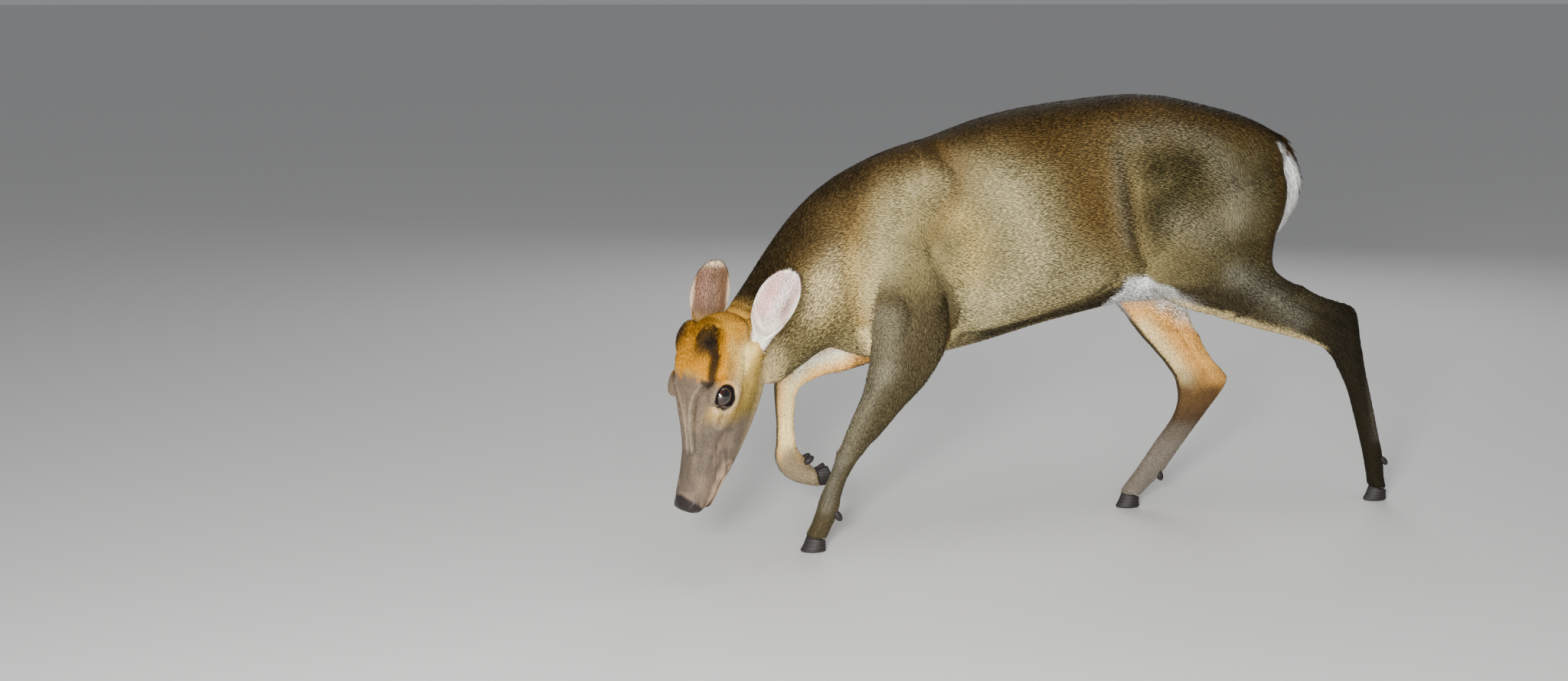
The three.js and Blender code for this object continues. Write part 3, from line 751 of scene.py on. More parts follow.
# lines on one side of the head, each with its width and height, and mirrored for the other side
RELIEF = [
    # the fold that the dark stripe follows, and the ridge inside it, whose pale line is a painted
    # highlight
    (STRIPE[4:], 2.8, -3.4),
    ([(9, 30, 27), (-1, 23, 28), (-10, 16, 26), (-20, 10.5, 22), (-33, 6, 18), (-52, 4.5, 11),
      (-76, 5, 4)], 3.2, 1.3),
    ([(-16, 0, 26), (-36, 0, 17), (-58, 0, 9), (-82, 0, 3)], 2.6, -1.4),
    ([(-4, 36, 20), (-18, 26, 20), (-34, 20, 14), (-55, 17, 7), (-80, 15, 0)], 3.4, 0.8),
    ([(-12, 38, 12), (-30, 27, 11), (-55, 22.5, 4), (-80, 19.5, -3)], 2.6, -0.9),
    ([(-30, 34, 3), (-52, 28, -3), (-76, 24.5, -9)], 3.2, 0.5),
    ([(60, 14, 38), (38, 20, 36), (22, 24, 33)], 8, 1.2),
    # the rim of the eye's socket, and the temple behind it
    ([(-15, 42, 12), (-4, 46, 17), (9, 47, 15), (20, 46, 7)], 4.4, 3.4),
    ([(-12, 45, 11.5), (0, 48, 14.5), (12, 47.5, 11)], 1.5, -1.3),
    ([(24, 46, 4), (44, 44, 6), (64, 42, 0)], 7, 1.6),
    ([(-14, 46, -13), (0, 49, -17), (13, 47, -14)], 1.8, -1.4),
    ([(-18, 44, -17), (-2, 48, -22), (14, 46, -19)], 2.2, 1.0),
    # the tear gland, with a raised rim
    (GLAND, 1.9, -2.2),
    ([(-16, 44, 6), (-24, 41, 1), (-32, 39, -2), (-41, 36, -4)], 2.2, 1.0),
    ([(-14, 45, -6), (-22, 43, -10), (-31, 40, -12), (-40, 37, -13)], 2.2, 1.0),
    # cheekbone, the hollow before it and the chewing muscle
    ([(-22, 40, -22), (4, 45, -26), (34, 45, -22), (60, 42, -18)], 7.0, 2.0),
    ([(-90, 27, -20), (-62, 32, -22), (-40, 36, -28)], 8.0, -2.0),
    ([(-10, 36, -55), (20, 38, -52), (44, 38, -46)], 16.0, 2.0),
    ([(-30, 38, -46), (-8, 40, -38), (30, 42, -36)], 5.0, -1.3),
    ([(-100, 22, -12), (-78, 25, -12), (-58, 29, -10)], 6.0, 1.4),
    # the fold of the upper lip over the mouth's corner
    ([(-62, 31.5, -19), (-78, 28, -27), (-94, 24, -32), (-108, 21.5, -35)], 2.2, -2.4),
    ([(-68, 31, -31), (-84, 28.5, -38), (-100, 25, -40)], 3.4, 2.2),
    # the nose: wing over each nostril and the groove under it
    ([(-150, 12, -6), (-143, 17.5, -8), (-134, 20, -13)], 3.2, 1.8),
    ([(-134, 21, -17), (-142, 18.5, -21), (-149, 12, -22)], 1.8, -1.6),
    ([(-152.5, 0, -14), (-153, 0, -24), (-149, 0, -33)], 1.2, -1.6),
    # the mouth
    (MOUTH, 1.6, -4.2),
    ([(-146, 10, -40), (-132, 16, -44), (-112, 21, -48), (-92, 26, -52)], 2.4, 1.2),
    ([(-92, 28, -47), (-86, 29, -52), (-84, 29, -57)], 2.2, -1.4),
]

head_web = Web(head_faces, len(head_points))
head_node = nearest_node(head_points)
ear_number = [node_names.index("ear_" + name) for name in EARS]
on_ear = np.arange(len(head_points)) >= first_ear
head_node[~on_ear & np.isin(head_node, ear_number)] = node_names.index("head")
head_node[first_ear:] = np.repeat(ear_number, [len(p) for p, f in ear_parts])
head_local = stance_to_head(to_stance(head_points))
ear_share = on_ear.astype(float)
eye_gap = np.min([norm(head_local - (0, side * (EYE_OUT + 8), 0)) for side in SIDES], axis=0)
soft = (0.1 + 0.9 * step(eye_gap, 19, 30)) * (1 - ear_share)
# the ears' roots and the throat behind the jaw are smoothed much further than the rest
root_soft = bell(norm(
    (np.abs(head_local) - (58, 40, 0) - head_local * (0, 0, 1)) / (34, 30, 60)
), 1)
jaw_soft = bell(norm((head_local - (54, 0, -58)) / (32, 90, 28)), 1)
for turns, share in (
    (by_run(16), 1), (by_run(60), step(root_soft, 0.3, 0.7)),
    (by_run(260), step(jaw_soft, 0.2, 0.6)),
):
    head_points = head_web.smooth(head_points, turns, 0.5 * soft * share)
head_normals = normals_of(head_points, head_faces)
head_local = stance_to_head(to_stance(head_points))
relief = np.zeros(len(head_points))
for line, width, height in RELIEF:
    for side in SIDES:
        gap, share = line_distance(head_local, snapped(line, side, head_local))
        ends = step(share, -0.15, 0.25) * fall(share, 0.75, 1.1)
        relief += height * bell(gap, width) * (0.25 + 0.75 * ends)
relief *= 1 - ear_share
for side in SIDES:
    gap = norm((head_local - (-150.5, side * 10.5, -14)) / (6.5, 3.6, 5.2))
    relief -= 5.5 * fall(gap, 0.3, 1.15)
head_fields = coat_fields(head_points, head_node, head_web, True)
head_depth = head_fields["depth"] * (0.15 + 0.85 * step(eye_gap, 17, 24))
head_points = head_points + head_normals * ((relief - head_depth) / 1000)[:, None]

# One skin from the two, which overlap under the coat at the nape. The head's comes to lie on the
# body's, so that the two meet without a step

meet = fall(past_nape(head_points), NAPE_SEAM - 2, NAPE_SEAM + 36) * ~on_ear
body_tree = tree_of(body_points, body_faces)
near_seam = np.flatnonzero((meet > 0) & (past_nape(head_points) > NAPE_SEAM - 20))
on_body = np.array([body_tree.find_nearest(p)[0] for p in head_points[near_seam].tolist()])
head_points[near_seam] += meet[near_seam, None] * (on_body - head_points[near_seam])
seam_share = step(meet, 0.0, 0.2) * fall(meet, 0.8, 1.0)
head_points = head_web.smooth(head_points, 24, 0.5 * seam_share)

SKIN_OVERLAP = 8.0
head_keep = (past_nape(head_points) > NAPE_SEAM - SKIN_OVERLAP) | on_ear
body_keep = past_nape(body_points) < NAPE_SEAM + SKIN_OVERLAP
body_keep |= to_stance(body_points)[:, 0] > 0


def cut_skin(points, faces, keep, fields, numbers):
    used, faces = kept(faces, keep)
    return points[used], faces, {k: v[used] for k, v in fields.items()}, numbers[used]


head_cut = cut_skin(head_points, head_faces, head_keep, head_fields, head_node)
body_cut = cut_skin(body_points, body_faces, body_keep, body_fields, body_node)
skin_points, skin_faces = joined([head_cut[:2], body_cut[:2]])
skin_fields = {k: np.concatenate([head_cut[2][k], body_cut[2][k]]) for k in head_cut[2]}
skin_node = np.concatenate([head_cut[3], body_cut[3]])
skin_is_head = np.arange(len(skin_points)) < len(head_cut[0])
skin_normals = normals_of(skin_points, skin_faces)
skin_stance = to_stance(skin_points)

# Lie of the coat: lines that run from the nose to the tail and down the legs

TRUNK_LIE = [
    [(20, 50, 450), (140, 80, 470), (300, 95, 490), (480, 95, 490), (620, 85, 470), (686, 60, 430),
     (690, 55, 380)],
    [(0, 55, 380), (120, 80, 400), (270, 100, 420), (430, 103, 410), (560, 105, 400),
     (640, 100, 370)],
    [(10, 50, 320), (110, 80, 320), (240, 95, 330), (380, 100, 340), (480, 100, 350),
     (540, 105, 330)],
    [(100, 30, 250), (260, 40, 262), (420, 40, 295), (560, 40, 310)],
]
OTHER_LIE = [
    [(-66, -110, 290), (-20, -85, 330), (20, -75, 370)],
    [(-110, -90, 330), (-40, -34, 410), (0, -15, 455), (84, 0, 510), (250, 0, 565), (460, 0, 595),
     (600, 0, 578), (690, 0, 545), (716, 0, 500), (704, 0, 440)],
    [(-95, -130, 300), (-30, -85, 340), (30, -68, 370)],
    [(-100, -60, 330), (-20, 40, 370), (60, 70, 400)],
    [(-60, -95, 250), (0, -30, 262), (90, 0, 250)],
    [(700, 0, 540), (740, 0, 510), (752, 0, 470), (745, 0, 430), (722, 0, 390)],
    [(140, -85, 440), (140, -95, 380), (130, -97, 300), (110, -90, 235), (62, -60, 155),
     (42, -48, 97), (25, -40, 35)],
    [(150, 90, 440), (140, 95, 350), (110, 95, 270), (40, 70, 240), (0, 55, 212), (0, 50, 160),
     (0, 45, 115), (15, 42, 95), (35, 40, 85)],
    [(600, -98, 500), (590, -112, 420), (580, -112, 350), (660, -100, 320), (740, -90, 285),
     (800, -75, 240), (830, -65, 170), (860, -55, 80), (875, -50, 30)],
    [(600, 98, 500), (580, 112, 420), (560, 112, 340), (590, 95, 260), (630, 80, 190),
     (640, 65, 160), (610, 55, 118), (560, 40, 65), (530, 30, 30)],
]
HEAD_LIE = [
    [(-140, 22, -15), (-80, 30, -15), (-40, 40, 4), (0, 44, 22), (50, 44, 12), (85, 38, -10)],
    [(-130, 20, -30), (-80, 32, -35), (-20, 42, -28), (30, 45, -32), (70, 40, -45)],
    [(-135, 10, -45), (-60, 25, -62), (0, 35, -72), (60, 30, -62)],
    [(-150, 0, 0), (-80, 0, 5), (0, 0, 30), (60, 0, 38), (95, 0, 0)],
]


# points worked on at a time, and how softly the lines blend, in mm squared
CHUNK = 20000
FLOW_BLEND = 120.0


def lie_samples():
    lines = [np.array(line, float) for line in OTHER_LIE]
    for side in SIDES:
        lines += [mirrored(line, side) for line in TRUNK_LIE]
        lines += [head_to_stance(mirrored(line, side)) for line in HEAD_LIE]
    places, ways = [], []
    for line in lines:
        rows = spread(line, 6)
        places.append(rows)
        ways.append(unit(np.gradient(rows, axis=0)))
    return np.vstack(places), np.vstack(ways)


def flow_at(stance):
    places, ways = lie_samples()
    out = np.empty_like(stance)
    for start in range(0, len(stance), CHUNK):
        part = stance[start:start + CHUNK]
        gap = ((part[:, None, :] - places[None]) ** 2).sum(-1)
        out[start:start + CHUNK] = (1 / (gap + FLOW_BLEND) ** 2) @ ways
    return unit(out)


def tangent(vectors, normals):
    return unit(vectors - (vectors * normals).sum(1, keepdims=True) * normals)


skin_flow = flow_at(skin_stance)
for name in EARS:
    along = HEAD_AXES @ ear_axes(name)[1]
    on_ear = node_mask(skin_node, "ear_" + name)[:, None]
    skin_flow = skin_flow * (1 - on_ear) + along * on_ear
skin_flow = tangent(skin_flow, skin_normals)


def value_noise(points, size, seed):
    """Smooth noise from 0 to 1 with features of about the given size."""
    cell = points / size
    low = np.floor(cell).astype(np.int64)
    part = cell - low
    part = part * part * (3 - 2 * part)
    total = np.zeros(len(points))
    for corner in range(8):
        shift = np.array([corner & 1, corner >> 1 & 1, corner >> 2 & 1])
        key = ((low + shift) * HASH).sum(1) + seed * 2654435761
        key = (key ^ (key >> 13)) * 1274126177
        level = ((key ^ (key >> 16)) & 0xFFFF) / 65535
        weight = np.where(shift == 1, part, 1 - part).prod(1)
        total += level * weight
    return total


# Markings, with painted highlights and painted shade


def tone(red, green, blue):
    """A colour as it is to look in the studio's light, 0 to 255, to linear light."""
    c = np.clip(1.16 * np.array([red, green, blue]) - (18, 18, 26), 3, 252) / 255
    return np.where(c <= 0.04045, c / 12.92, ((c + 0.055) / 1.055) ** 2.4)


def bright(red, green, blue):
    """A pale colour, kept clean in the shade, to linear light."""
    c = np.array([red, green, blue]) / 255
    return ((c + 0.055) / 1.055) ** 2.4


# besides the coat's own colours, pale, silver, croup and shank also paint highlights, rust and
# thigh also paint shade in grooves, and belly is partly painted shade
DEEP_TONES = {
    "flank": (136, 124, 94), "rust": (98, 76, 48), "spine": (54, 42, 28), "pale": (180, 168, 136),
    "silver": (210, 194, 158), "ochre": (192, 168, 120), "neck": (160, 132, 86),
    "elbow": (76, 67, 54), "grey": (136, 130, 116), "leg": (80, 72, 61), "dark leg": (45, 40, 36),
    "thigh": (62, 55, 41), "croup": (128, 121, 106), "shank": (116, 113, 106),
    "belly": (46, 38, 30), "apricot": (224, 172, 102), "hock": (80, 64, 56),
    "cannon": (118, 110, 106), "tail": (58, 42, 28), "throat": (184, 166, 134),
    "orange": (180, 126, 34), "gold": (246, 190, 84), "brow": (42, 36, 36),
    "forehead": (116, 102, 93), "muzzle": (96, 86, 83), "lip": (150, 126, 112),
    "cheek": (190, 158, 94), "socket": (160, 124, 92), "rim": (196, 178, 160),
    "ear back": (120, 100, 80), "lid": (24, 17, 15), "jaw": (96, 84, 54),
    "ear shade": (116, 88, 74), "ear rim": (206, 182, 158),
}
PALE_TONES = {
    "white": (248, 247, 244), "cream": (254, 230, 166), "butter": (255, 240, 168),
    "pink": (246, 212, 202), "ear edge": (254, 244, 226), "nose": (40, 35, 33),
    "flush": (236, 176, 166), "ear white": (254, 246, 242),
}
TONES = {name: tone(*rgb) for name, rgb in DEEP_TONES.items()}
TONES |= {name: bright(*rgb) for name, rgb in PALE_TONES.items()}


def painter(first, count):
    """The first tone on every point, and a function that paints a share of another over it."""
    colour = np.tile(TONES[first], (count, 1))

    def dab(name, share):
        colour[:] = colour + (TONES[name] - colour) * np.clip(share, 0, 1)[:, None]

    return colour, dab


# Bands of colour over the trunk, as lines seen from the side: tone, share, width, line. Besides
# the coat's own colours they hold painted highlights on raised forms and painted shade in grooves
# and hollows
TRUNK_BANDS = [
    ("ochre", 0.75, 46, [(0, 350), (20, 400), (40, 440)]),
    # partly grizzled coat, partly a painted highlight, at the base of the neck
    ("silver", 0.9, 24, [(-10, 335), (14, 372), (24, 400)]),
    ("neck", 0.7, 15, [(60, 455), (44, 400), (58, 350), (66, 312)]),
    # partly grizzled coat, partly painted highlights, on the shoulder's point and the shoulder
    # blade
    ("pale", 0.6, 30, [(140, 500), (110, 480), (92, 440), (88, 390), (84, 340)]),
    ("pale", 0.45, 26, [(150, 496), (178, 494), (176, 480)]),
    # painted shade in the groove behind the shoulder blade
    ("rust", 0.9, 14, [(178, 530), (199, 504), (197, 478), (172, 448), (154, 420)]),
    ("flank", 0.6, 20, [(150, 450), (146, 415)]),
    # partly grizzled coat, partly painted highlights, over the ribs
    ("pale", 0.4, 30, [(206, 524), (236, 506), (262, 480)]),
    ("pale", 0.75, 36, [(262, 474), (288, 430), (302, 385), (278, 345), (240, 322)]),
    ("pale", 0.35, 60, [(250, 470), (270, 400), (240, 340)]),
    ("ochre", 0.6, 24, [(195, 440), (208, 408), (205, 370)]),
    # partly grizzled coat, partly a painted highlight, along the lower flank
    ("pale", 0.5, 26, [(205, 330), (260, 335), (330, 345), (375, 360)]),
    ("rust", 0.85, 46, [(300, 545), (345, 525), (362, 470), (376, 440)]),
    ("rust", 0.6, 34, [(395, 520), (412, 450), (420, 400)]),
    ("rust", 0.5, 40, [(330, 560), (420, 570), (480, 560)]),
    # painted highlights on the hip bone and on the ridge of the flank's fold
    ("croup", 0.75, 20, [(436, 545), (490, 553), (552, 535)]),
    ("croup", 0.55, 12, [(412, 520), (411, 458), (424, 405)]),
    # painted shade in the hollow below the hip bone
    ("thigh", 0.8, 30, [(470, 500), (520, 505), (500, 470), (460, 440)]),
    # a painted highlight over the thigh
    ("croup", 0.6, 24, [(500, 430), (540, 418), (580, 430)]),
    # painted shade in the groove of the buttock
    ("thigh", 0.7, 22, [(600, 500), (608, 450), (604, 400)]),
    # a painted highlight on the croup
    ("croup", 0.8, 26, [(570, 505), (588, 468), (592, 440)]),
    ("rust", 0.7, 15, [(664, 505), (668, 460), (654, 415), (640, 385)]),
]


def body_colour(stance, normals, numbers):
    """The coat's colour over trunk, neck, legs and tail, with painted highlights on its raised
    forms and painted shade in its grooves and underside.
    """
    x, y, z = stance.T
    nx, ny, nz = normals.T
    drift = value_noise(stance, 60, 3) - 0.5
    fine = value_noise(stance, 16, 5) - 0.5
    left = y < 0
    leg = node_mask(numbers, "foreleg", "hindleg")
    upper = node_mask(numbers, "upper", "thigh")
    trunk = 1 - leg + upper
    tail = node_mask(numbers, "tail")
    colour, dab = painter("flank", len(stance))

    def close_to(width, *line):
        return bell(plane_gap(stance, line)[0], width)

    dab("thigh", 0.75 * step(x + 40 * drift, 400, 600))
    for name, share, width, line in TRUNK_BANDS:
        dab(name, share * trunk * close_to(width * (1 + 0.5 * drift), *line))
    # coat darker where it faces up: partly the back's own darker coat, partly painted shade where
    # the back turns away from the light
    up = step(nz + 0.3 * drift, 0.45, 0.95) * trunk
    dab("rust", 0.7 * up)
    crest, _ = line_distance(stance, OTHER_LIE[1])
    dab("rust", 0.85 * trunk * fall(crest + 40 * drift, 30, 105))
    dab("spine", 0.9 * trunk * fall(crest + 40 * drift, 8, 62))
    # more of it on the croup's upper faces: partly own coat, partly painted shade
    dab("spine", 0.5 * up * step(x, 480, 620))
    # the underside: a dark band along the flank's edge, partly dark belly hair and partly painted
    # shade of the underside, pale between, white at the groin
    under = step(-nz, 0.35, 0.8) * trunk
    edge_line = [(200, 284), (269, 288), (316, 298), (373, 314), (420, 338)]
    below = step(np.interp(x, *np.transpose(edge_line)) + 4 - z, -6, 6)
    dab("belly", 0.9 * trunk * below * step(x, 190, 250) * (z < 345))
    dab("throat", 0.75 * under * fall(np.abs(y), 22, 44) * step(x, 110, 200))
    groin, _ = plane_gap(stance, [(436, 312), (448, 340), (470, 338), (494, 322), (520, 304)])
    dab("white", fall(groin + 10 * fine, 11, 19) * step(-nz, 0.2, 0.45))
    dab("white", under * step(x + 30 * fine, 430, 460) * fall(x, 500, 560) * fall(z, 352, 362))
    # throat and brisket
    front = step(-nx - 0.5 * nz, 0.35, 0.85) * fall(z, 300, 350)
    dab("throat", 0.8 * front * fall(x, 60, 120) * trunk)
    brisket, _ = plane_gap(stance, [(70, 292), (86, 284), (88, 272)])
    dab("cream", 0.65 * fall(brisket + 8 * fine, 1, 15) * (1 - leg))
    # forelegs
    fore = leg * (x < 260)
    inner = step(-ny * np.sign(y), 0.1, 0.55)
    dab("elbow", 0.92 * (fore * fall(z + 24 * fine, 330, 405) * left))
    near = fore * left
    for name, amount, width, line in (
        ("leg", 0.9, 40, [(110, 300), (90, 240), (60, 160), (40, 100), (20, 40)]),
        ("grey", 0.5, 15, [(94, 318), (98, 285), (94, 250)]),
        ("grey", 0.55, 11, [(96, 255), (80, 212), (60, 168), (46, 130)]),
        ("elbow", 0.6, 14, [(150, 300), (130, 240), (104, 200)]),
        # painted shade in the crease behind the arm
        ("rust", 0.75, 8, [(178, 306), (184, 288), (180, 268)]),
        ("shank", 0.5, 7, [(44, 126), (34, 92), (26, 60)]),
    ):
        dab(name, amount * near * close_to(width, *line) * (z < 350))
    dab("throat", 0.6 * near * inner * fall(z, 250, 330))
    lifted = fore * ~left
    dab("leg", 0.85 * lifted * fall(z + 24 * fine, 300, 380))
    dab("apricot", lifted * inner * fall(z, 300, 340))
    # the lifted leg's inner face is cream; the white along its middle is partly pale coat and
    # partly a painted highlight
    gap, _ = plane_gap(stance, [(96, 262), (76, 254), (30, 240), (6, 214), (0, 170), (0, 130)])
    dab("cream", 0.95 * lifted * inner * bell(gap, 15))
    dab("white", 0.6 * lifted * inner * bell(gap, 8) * step(z, 205, 240))
    dab("shank", lifted * fall(z + 30 * fine, 108, 132) * 0.8)
    dab("grey", lifted * fall(z + 40 * fine, 80, 112) * 0.5)
    # hind legs
    hind = leg * (x > 440)
    dab("leg", 0.7 * (hind * fall(z + 20 * fine, 330, 400) * (1 - upper * 0.3)))
    dab("dark leg", 0.95 * hind * step(x, 690, 790) * left)
    # a painted highlight along the muscle of the near shank
    dab("shank", 0.75 * hind * left * close_to(17, (585, 360), (651, 320), (706, 282)))
    dab("cannon", 0.35 * hind * left * close_to(9, (845, 190), (866, 100)))
    dab("cream", 0.8 * hind * left * inner * step(z, 210, 250))
    under = hind * left * step(-nz - 0.25 * ny, 0.78, 0.95) * step(z, 225, 250)
    dab("cream", 0.8 * under * fall(z, 320, 335))
    right = hind * ~left * inner
    dab("apricot", right * step(z, 110, 170) * fall(z, 340, 370))
    dab("cream", 0.9 * right * close_to(13, (540, 262), (575, 225), (612, 180)))
    dab("white", right * step(z + 0.35 * (x - 500) + 14 * fine, 290, 332))
    dab("hock", 0.9 * hind * ~left * fall(z + 16 * fine, 158, 204))
    dab("cannon", hind * ~left * fall(z + 16 * fine, 84, 130))
    # tail: dark along its back, white at its sides and below
    back = step(0.85 * nx + 0.5 * nz - 0.6 * np.abs(ny), 0.3, 0.5)
    colour[:] = colour * (1 - tail[:, None]) + TONES["white"] * tail[:, None]
    dab("tail", tail * back)
    dab("rust", 0.6 * tail * back * step(z, 490, 530))
    edge, _ = plane_gap(stance, [(682, 527), (692, 512), (702, 498)])
    dab("white", (1 - tail) * fall(edge, 3, 6) * step(nx, 0.2, 0.45))
    rump = (1 - tail) * (1 - leg + upper) * step(x, 640, 680) * fall(z, 520, 534)
    dab("white", rump * fall(np.abs(y), 40, 52) * step(nx, 0.3, 0.6))
    return colour * (1 + 0.14 * fine + 0.1 * drift)[:, None]


HEAD_MARKS = {
    "stripe": STRIPE, "gland": GLAND, "mouth": MOUTH,
    "ridge": [(4, 27, 27), (-10, 16, 26), (-20, 10.5, 22), (-33, 6, 18), (-52, 4.5, 11),
              (-76, 5, 4)],
    "strip": [(62, 38, 17), (46, 42, 12), (32, 44, 9), (19, 45, 9)],
    "fold": [(-62, 31.5, -19), (-78, 28, -27), (-94, 24, -32), (-108, 21, -35)],
}


def oval(a, wide, b, high):
    """1 in the middle of an oval spot, fading out past its two half sizes."""
    return bell(np.hypot(a / wide, b / high), 1)


def head_colour(stance, normals, numbers):
    """The coat's colour over the head and ears, with a painted highlight on the face's ridges,
    painted shade in the stripe's lower end and the lip's fold, and the far ear painted in shade.
    """
    local = stance_to_head(stance)
    out = normals @ HEAD_AXES
    x, y, z = local.T
    off = np.abs(y)
    fine = value_noise(local, 8, 11) - 0.5
    drift = value_noise(local, 26, 12) - 0.5
    colour, dab = painter("cheek", len(stance))
    dab("throat", 0.6 * step(-z, 40, 75))
    dab("jaw", 0.95 * oval(x + 14, 58, z + 50, 30))
    dab("butter", 0.9 * oval(x - 56, 30, z + 19, 12) * (off > 26))
    dab("socket", 0.8 * oval(x - 16, 16, z + 6, 14) * (off > 26))
    dab("flank", 0.85 * behind_jaw(local))
    dab("jaw", 0.5 * behind_jaw(local))
    # forehead and crown
    top = step(z + 8 * fine, 2, 10) * (x > 0)
    dab("forehead", step(z, 2, 12) * fall(x, 10, 20))
    dab("orange", 0.95 * top * step(x + 14 * fine, 6, 20))
    dab("gold", 0.4 * step(x, 60, 84) * step(z + 20 * drift, -34, -4))
    dab("orange", 0.55 * step(-z, -6, 12) * step(x, 20, 40) * fall(-z, 10, 26))
    dab("orange", 0.6 * step(x, 56, 76) * step(z + 16 * drift, -50, -24))
    dab("neck", 0.8 * step(x - 0.3 * off, 92, 124))
    # the muzzle
    muzzle = fall(x + 0.25 * (z + 20) + 10 * drift, -44, -14)
    dab("muzzle", muzzle)
    dab("forehead", 0.6 * muzzle * step(x, -70, -40) * step(z, -6, 4))
    dab("throat", 0.6 * fall(z, -66, -48) * step(x, -100, -60))
    dab("lip", 0.25 * oval(x + 120, 20, z + 22, 12))
    dab("lip", 0.22 * muzzle * step(value_noise(local, 12, 17), 0.55, 0.8))
    for side in SIDES:
        gaps = {
            name: line_distance(local, snapped(line, side, local))
            for name, line in HEAD_MARKS.items()
        }
        dab("orange", 0.9 * bell(gaps["strip"][0], 8.5))
        gap, share = gaps["stripe"]
        wide = np.interp(share, (0, 0.25, 0.42, 0.6, 0.8, 1), (9.5, 7.4, 6.2, 4.8, 3.6, 2.0))
        # the stripe is the coat's own dark marking near the eye; past about half its length, where
        # it thins along the fold towards the nose, it is painted shade of the fold
        strength = np.interp(share, (0, 0.42, 0.56, 1), (0.95, 0.9, 0.5, 0.25))
        dab("brow", strength * fall(gap + 1.5 * fine, wide * 0.4, wide * 1.25))
        patch = norm((local - (57, side * 25, 32)) / (25, 17, 18))
        dab("brow", 0.9 * fall(patch + 0.4 * fine, 0.4, 1.25))
        # a painted highlight along the ridge inside the stripe's fold
        dab("rim", 0.22 * bell(gaps["ridge"][0], 3.0))
        # painted shade in the crease of the upper lip's fold
        dab("brow", 0.4 * bell(gaps["fold"][0], 2.0))
        eye = norm((local - (0, side * 47, 0)) / (1, 0.8, 0.92))
        dab("rim", 0.5 * bell(eye - 22, 5) * step(-z - 0.4 * x, -2, 8))
        dab("lid", fall(eye - 0.14 * (-x - z), 16.2, 18.6))
        gland, mouth = gaps["gland"][0], gaps["mouth"][0]
        wide = np.interp(x, (-38, -16), (1.6, 3.2))
        dab("lid", 0.4 * fall(gland + 1.5 * fine, 0.6, wide))
        dab("rim", 0.12 * bell(gland - 6, 3) * (x < -12))
        dab("lip", 0.6 * bell(mouth - 6, 4) * (x > -140))
        dab("brow", 0.9 * fall(mouth, 1, 2.6))
    dab("rim", 0.6 * (step(-z, 38, 48) * fall(x, -120, -80)))
    pad = fall(x + 0.4 * np.clip(-z - 8, 0, 20) + 0.25 * off, -134, -128) * step(z, -34, -30)
    dab("nose", pad)
    for name in EARS:
        base, along, face, across = ear_axes(name)
        part = local - base
        up, side = part @ along / EAR_LENGTH, part @ across / (EAR_WIDTH / 2)
        ear = node_mask(numbers, "ear_" + name)
        inner = step(out @ face, -0.05, 0.3)
        cup = ear * inner
        vein = value_noise(local * (0.35, 1, 1), 5, 21)
        dab("ear back", ear * (1 - inner))
        dab("orange", 0.75 * (1 - inner) * ear * fall(up, 0.12, 0.45))
        # the far ear's inside is painted as a shaded copy of the near one: darker, duskier in its
        # middle, with less flush and a dimmer rim (painted shade)
        near = name == "left"
        dab("pink" if near else "ear shade", cup)
        if not near:
            far_cup_shade = oval(up - 0.55, 0.3, side, 0.5)
            dab("forehead", 0.5 * cup * far_cup_shade)
            dab("brow", 0.25 * cup * step(vein, 0.5, 0.9))
        dab("lip", 0.3 * cup * step(vein, 0.55, 0.75))
        dab("ear white", 0.8 * cup * oval(up - 0.66, 0.3, side - 0.1, 0.3) * near)
        dab("flush", (0.7 if near else 0.15) * cup * oval(up - 0.62, 0.26, side + 0.45, 0.4))
        # painted shade on one side of each ear's cup
        dab("ear shade", 0.6 * cup * oval(up - 0.5, 0.2, side - 0.5, 0.3))
        speck = step(value_noise(local, 5, 23), 0.6, 0.8)
        speck = speck * oval(up - 0.26, 0.1, side + 0.1, 0.4)
        dab("brow", 0.5 * cup * speck)
        edge = np.maximum(step(np.abs(side), 0.78, 0.96), step(up, 0.88, 0.98))
        if near:
            edge = np.maximum(edge, fall(up + 0.3 * drift, 0.1, 0.36))
        else:
            dab("cheek", 0.8 * cup * fall(up, 0.12, 0.36))
        dab("ear edge" if near else "ear rim", cup * edge)
    return colour * (1 + 0.16 * fine + 0.1 * drift)[:, None], pad


def coat_colour(stance, normals, numbers):
    body = body_colour(stance, normals, numbers)
    head, pad = head_colour(stance, normals, numbers)
    past = (stance - NAPE_AT) @ NAPE_OUT
    share = step(past, -26, 16) * (stance[:, 0] < 0)
    share = np.maximum(share, node_mask(numbers, "ear_"))
    return body + (head - body) * share[:, None], pad * share


skin_colour, skin_wet = coat_colour(skin_stance, skin_normals, skin_node)

# A map of the skin's own shape: each region is unrolled from six sides, and the pieces are packed

REGIONS = ["head", "ear", "neck", "torso", "tail", "left_fore", "right_fore", "left_hind",
           "right_hind"]
region_of_node = np.array([
    next(k for k, region in enumerate(REGIONS) if region in name) for name in node_names
])
corner_a, corner_b, corner_c = (skin_points[skin_faces[:, k]] for k in range(3))
face_normal = unit(np.cross(corner_b - corner_a, corner_c - corner_a))
face_axis = np.abs(face_normal).argmax(1)
face_way = np.take_along_axis(face_normal, face_axis[:, None], 1)[:, 0] > 0
face_region = region_of_node[skin_node[skin_faces[:, 0]]]
face_chart = (face_region * 3 + face_axis) * 2 + face_way
CHART_AXES = {0: (1, 2), 1: (0, 2), 2: (0, 1)}


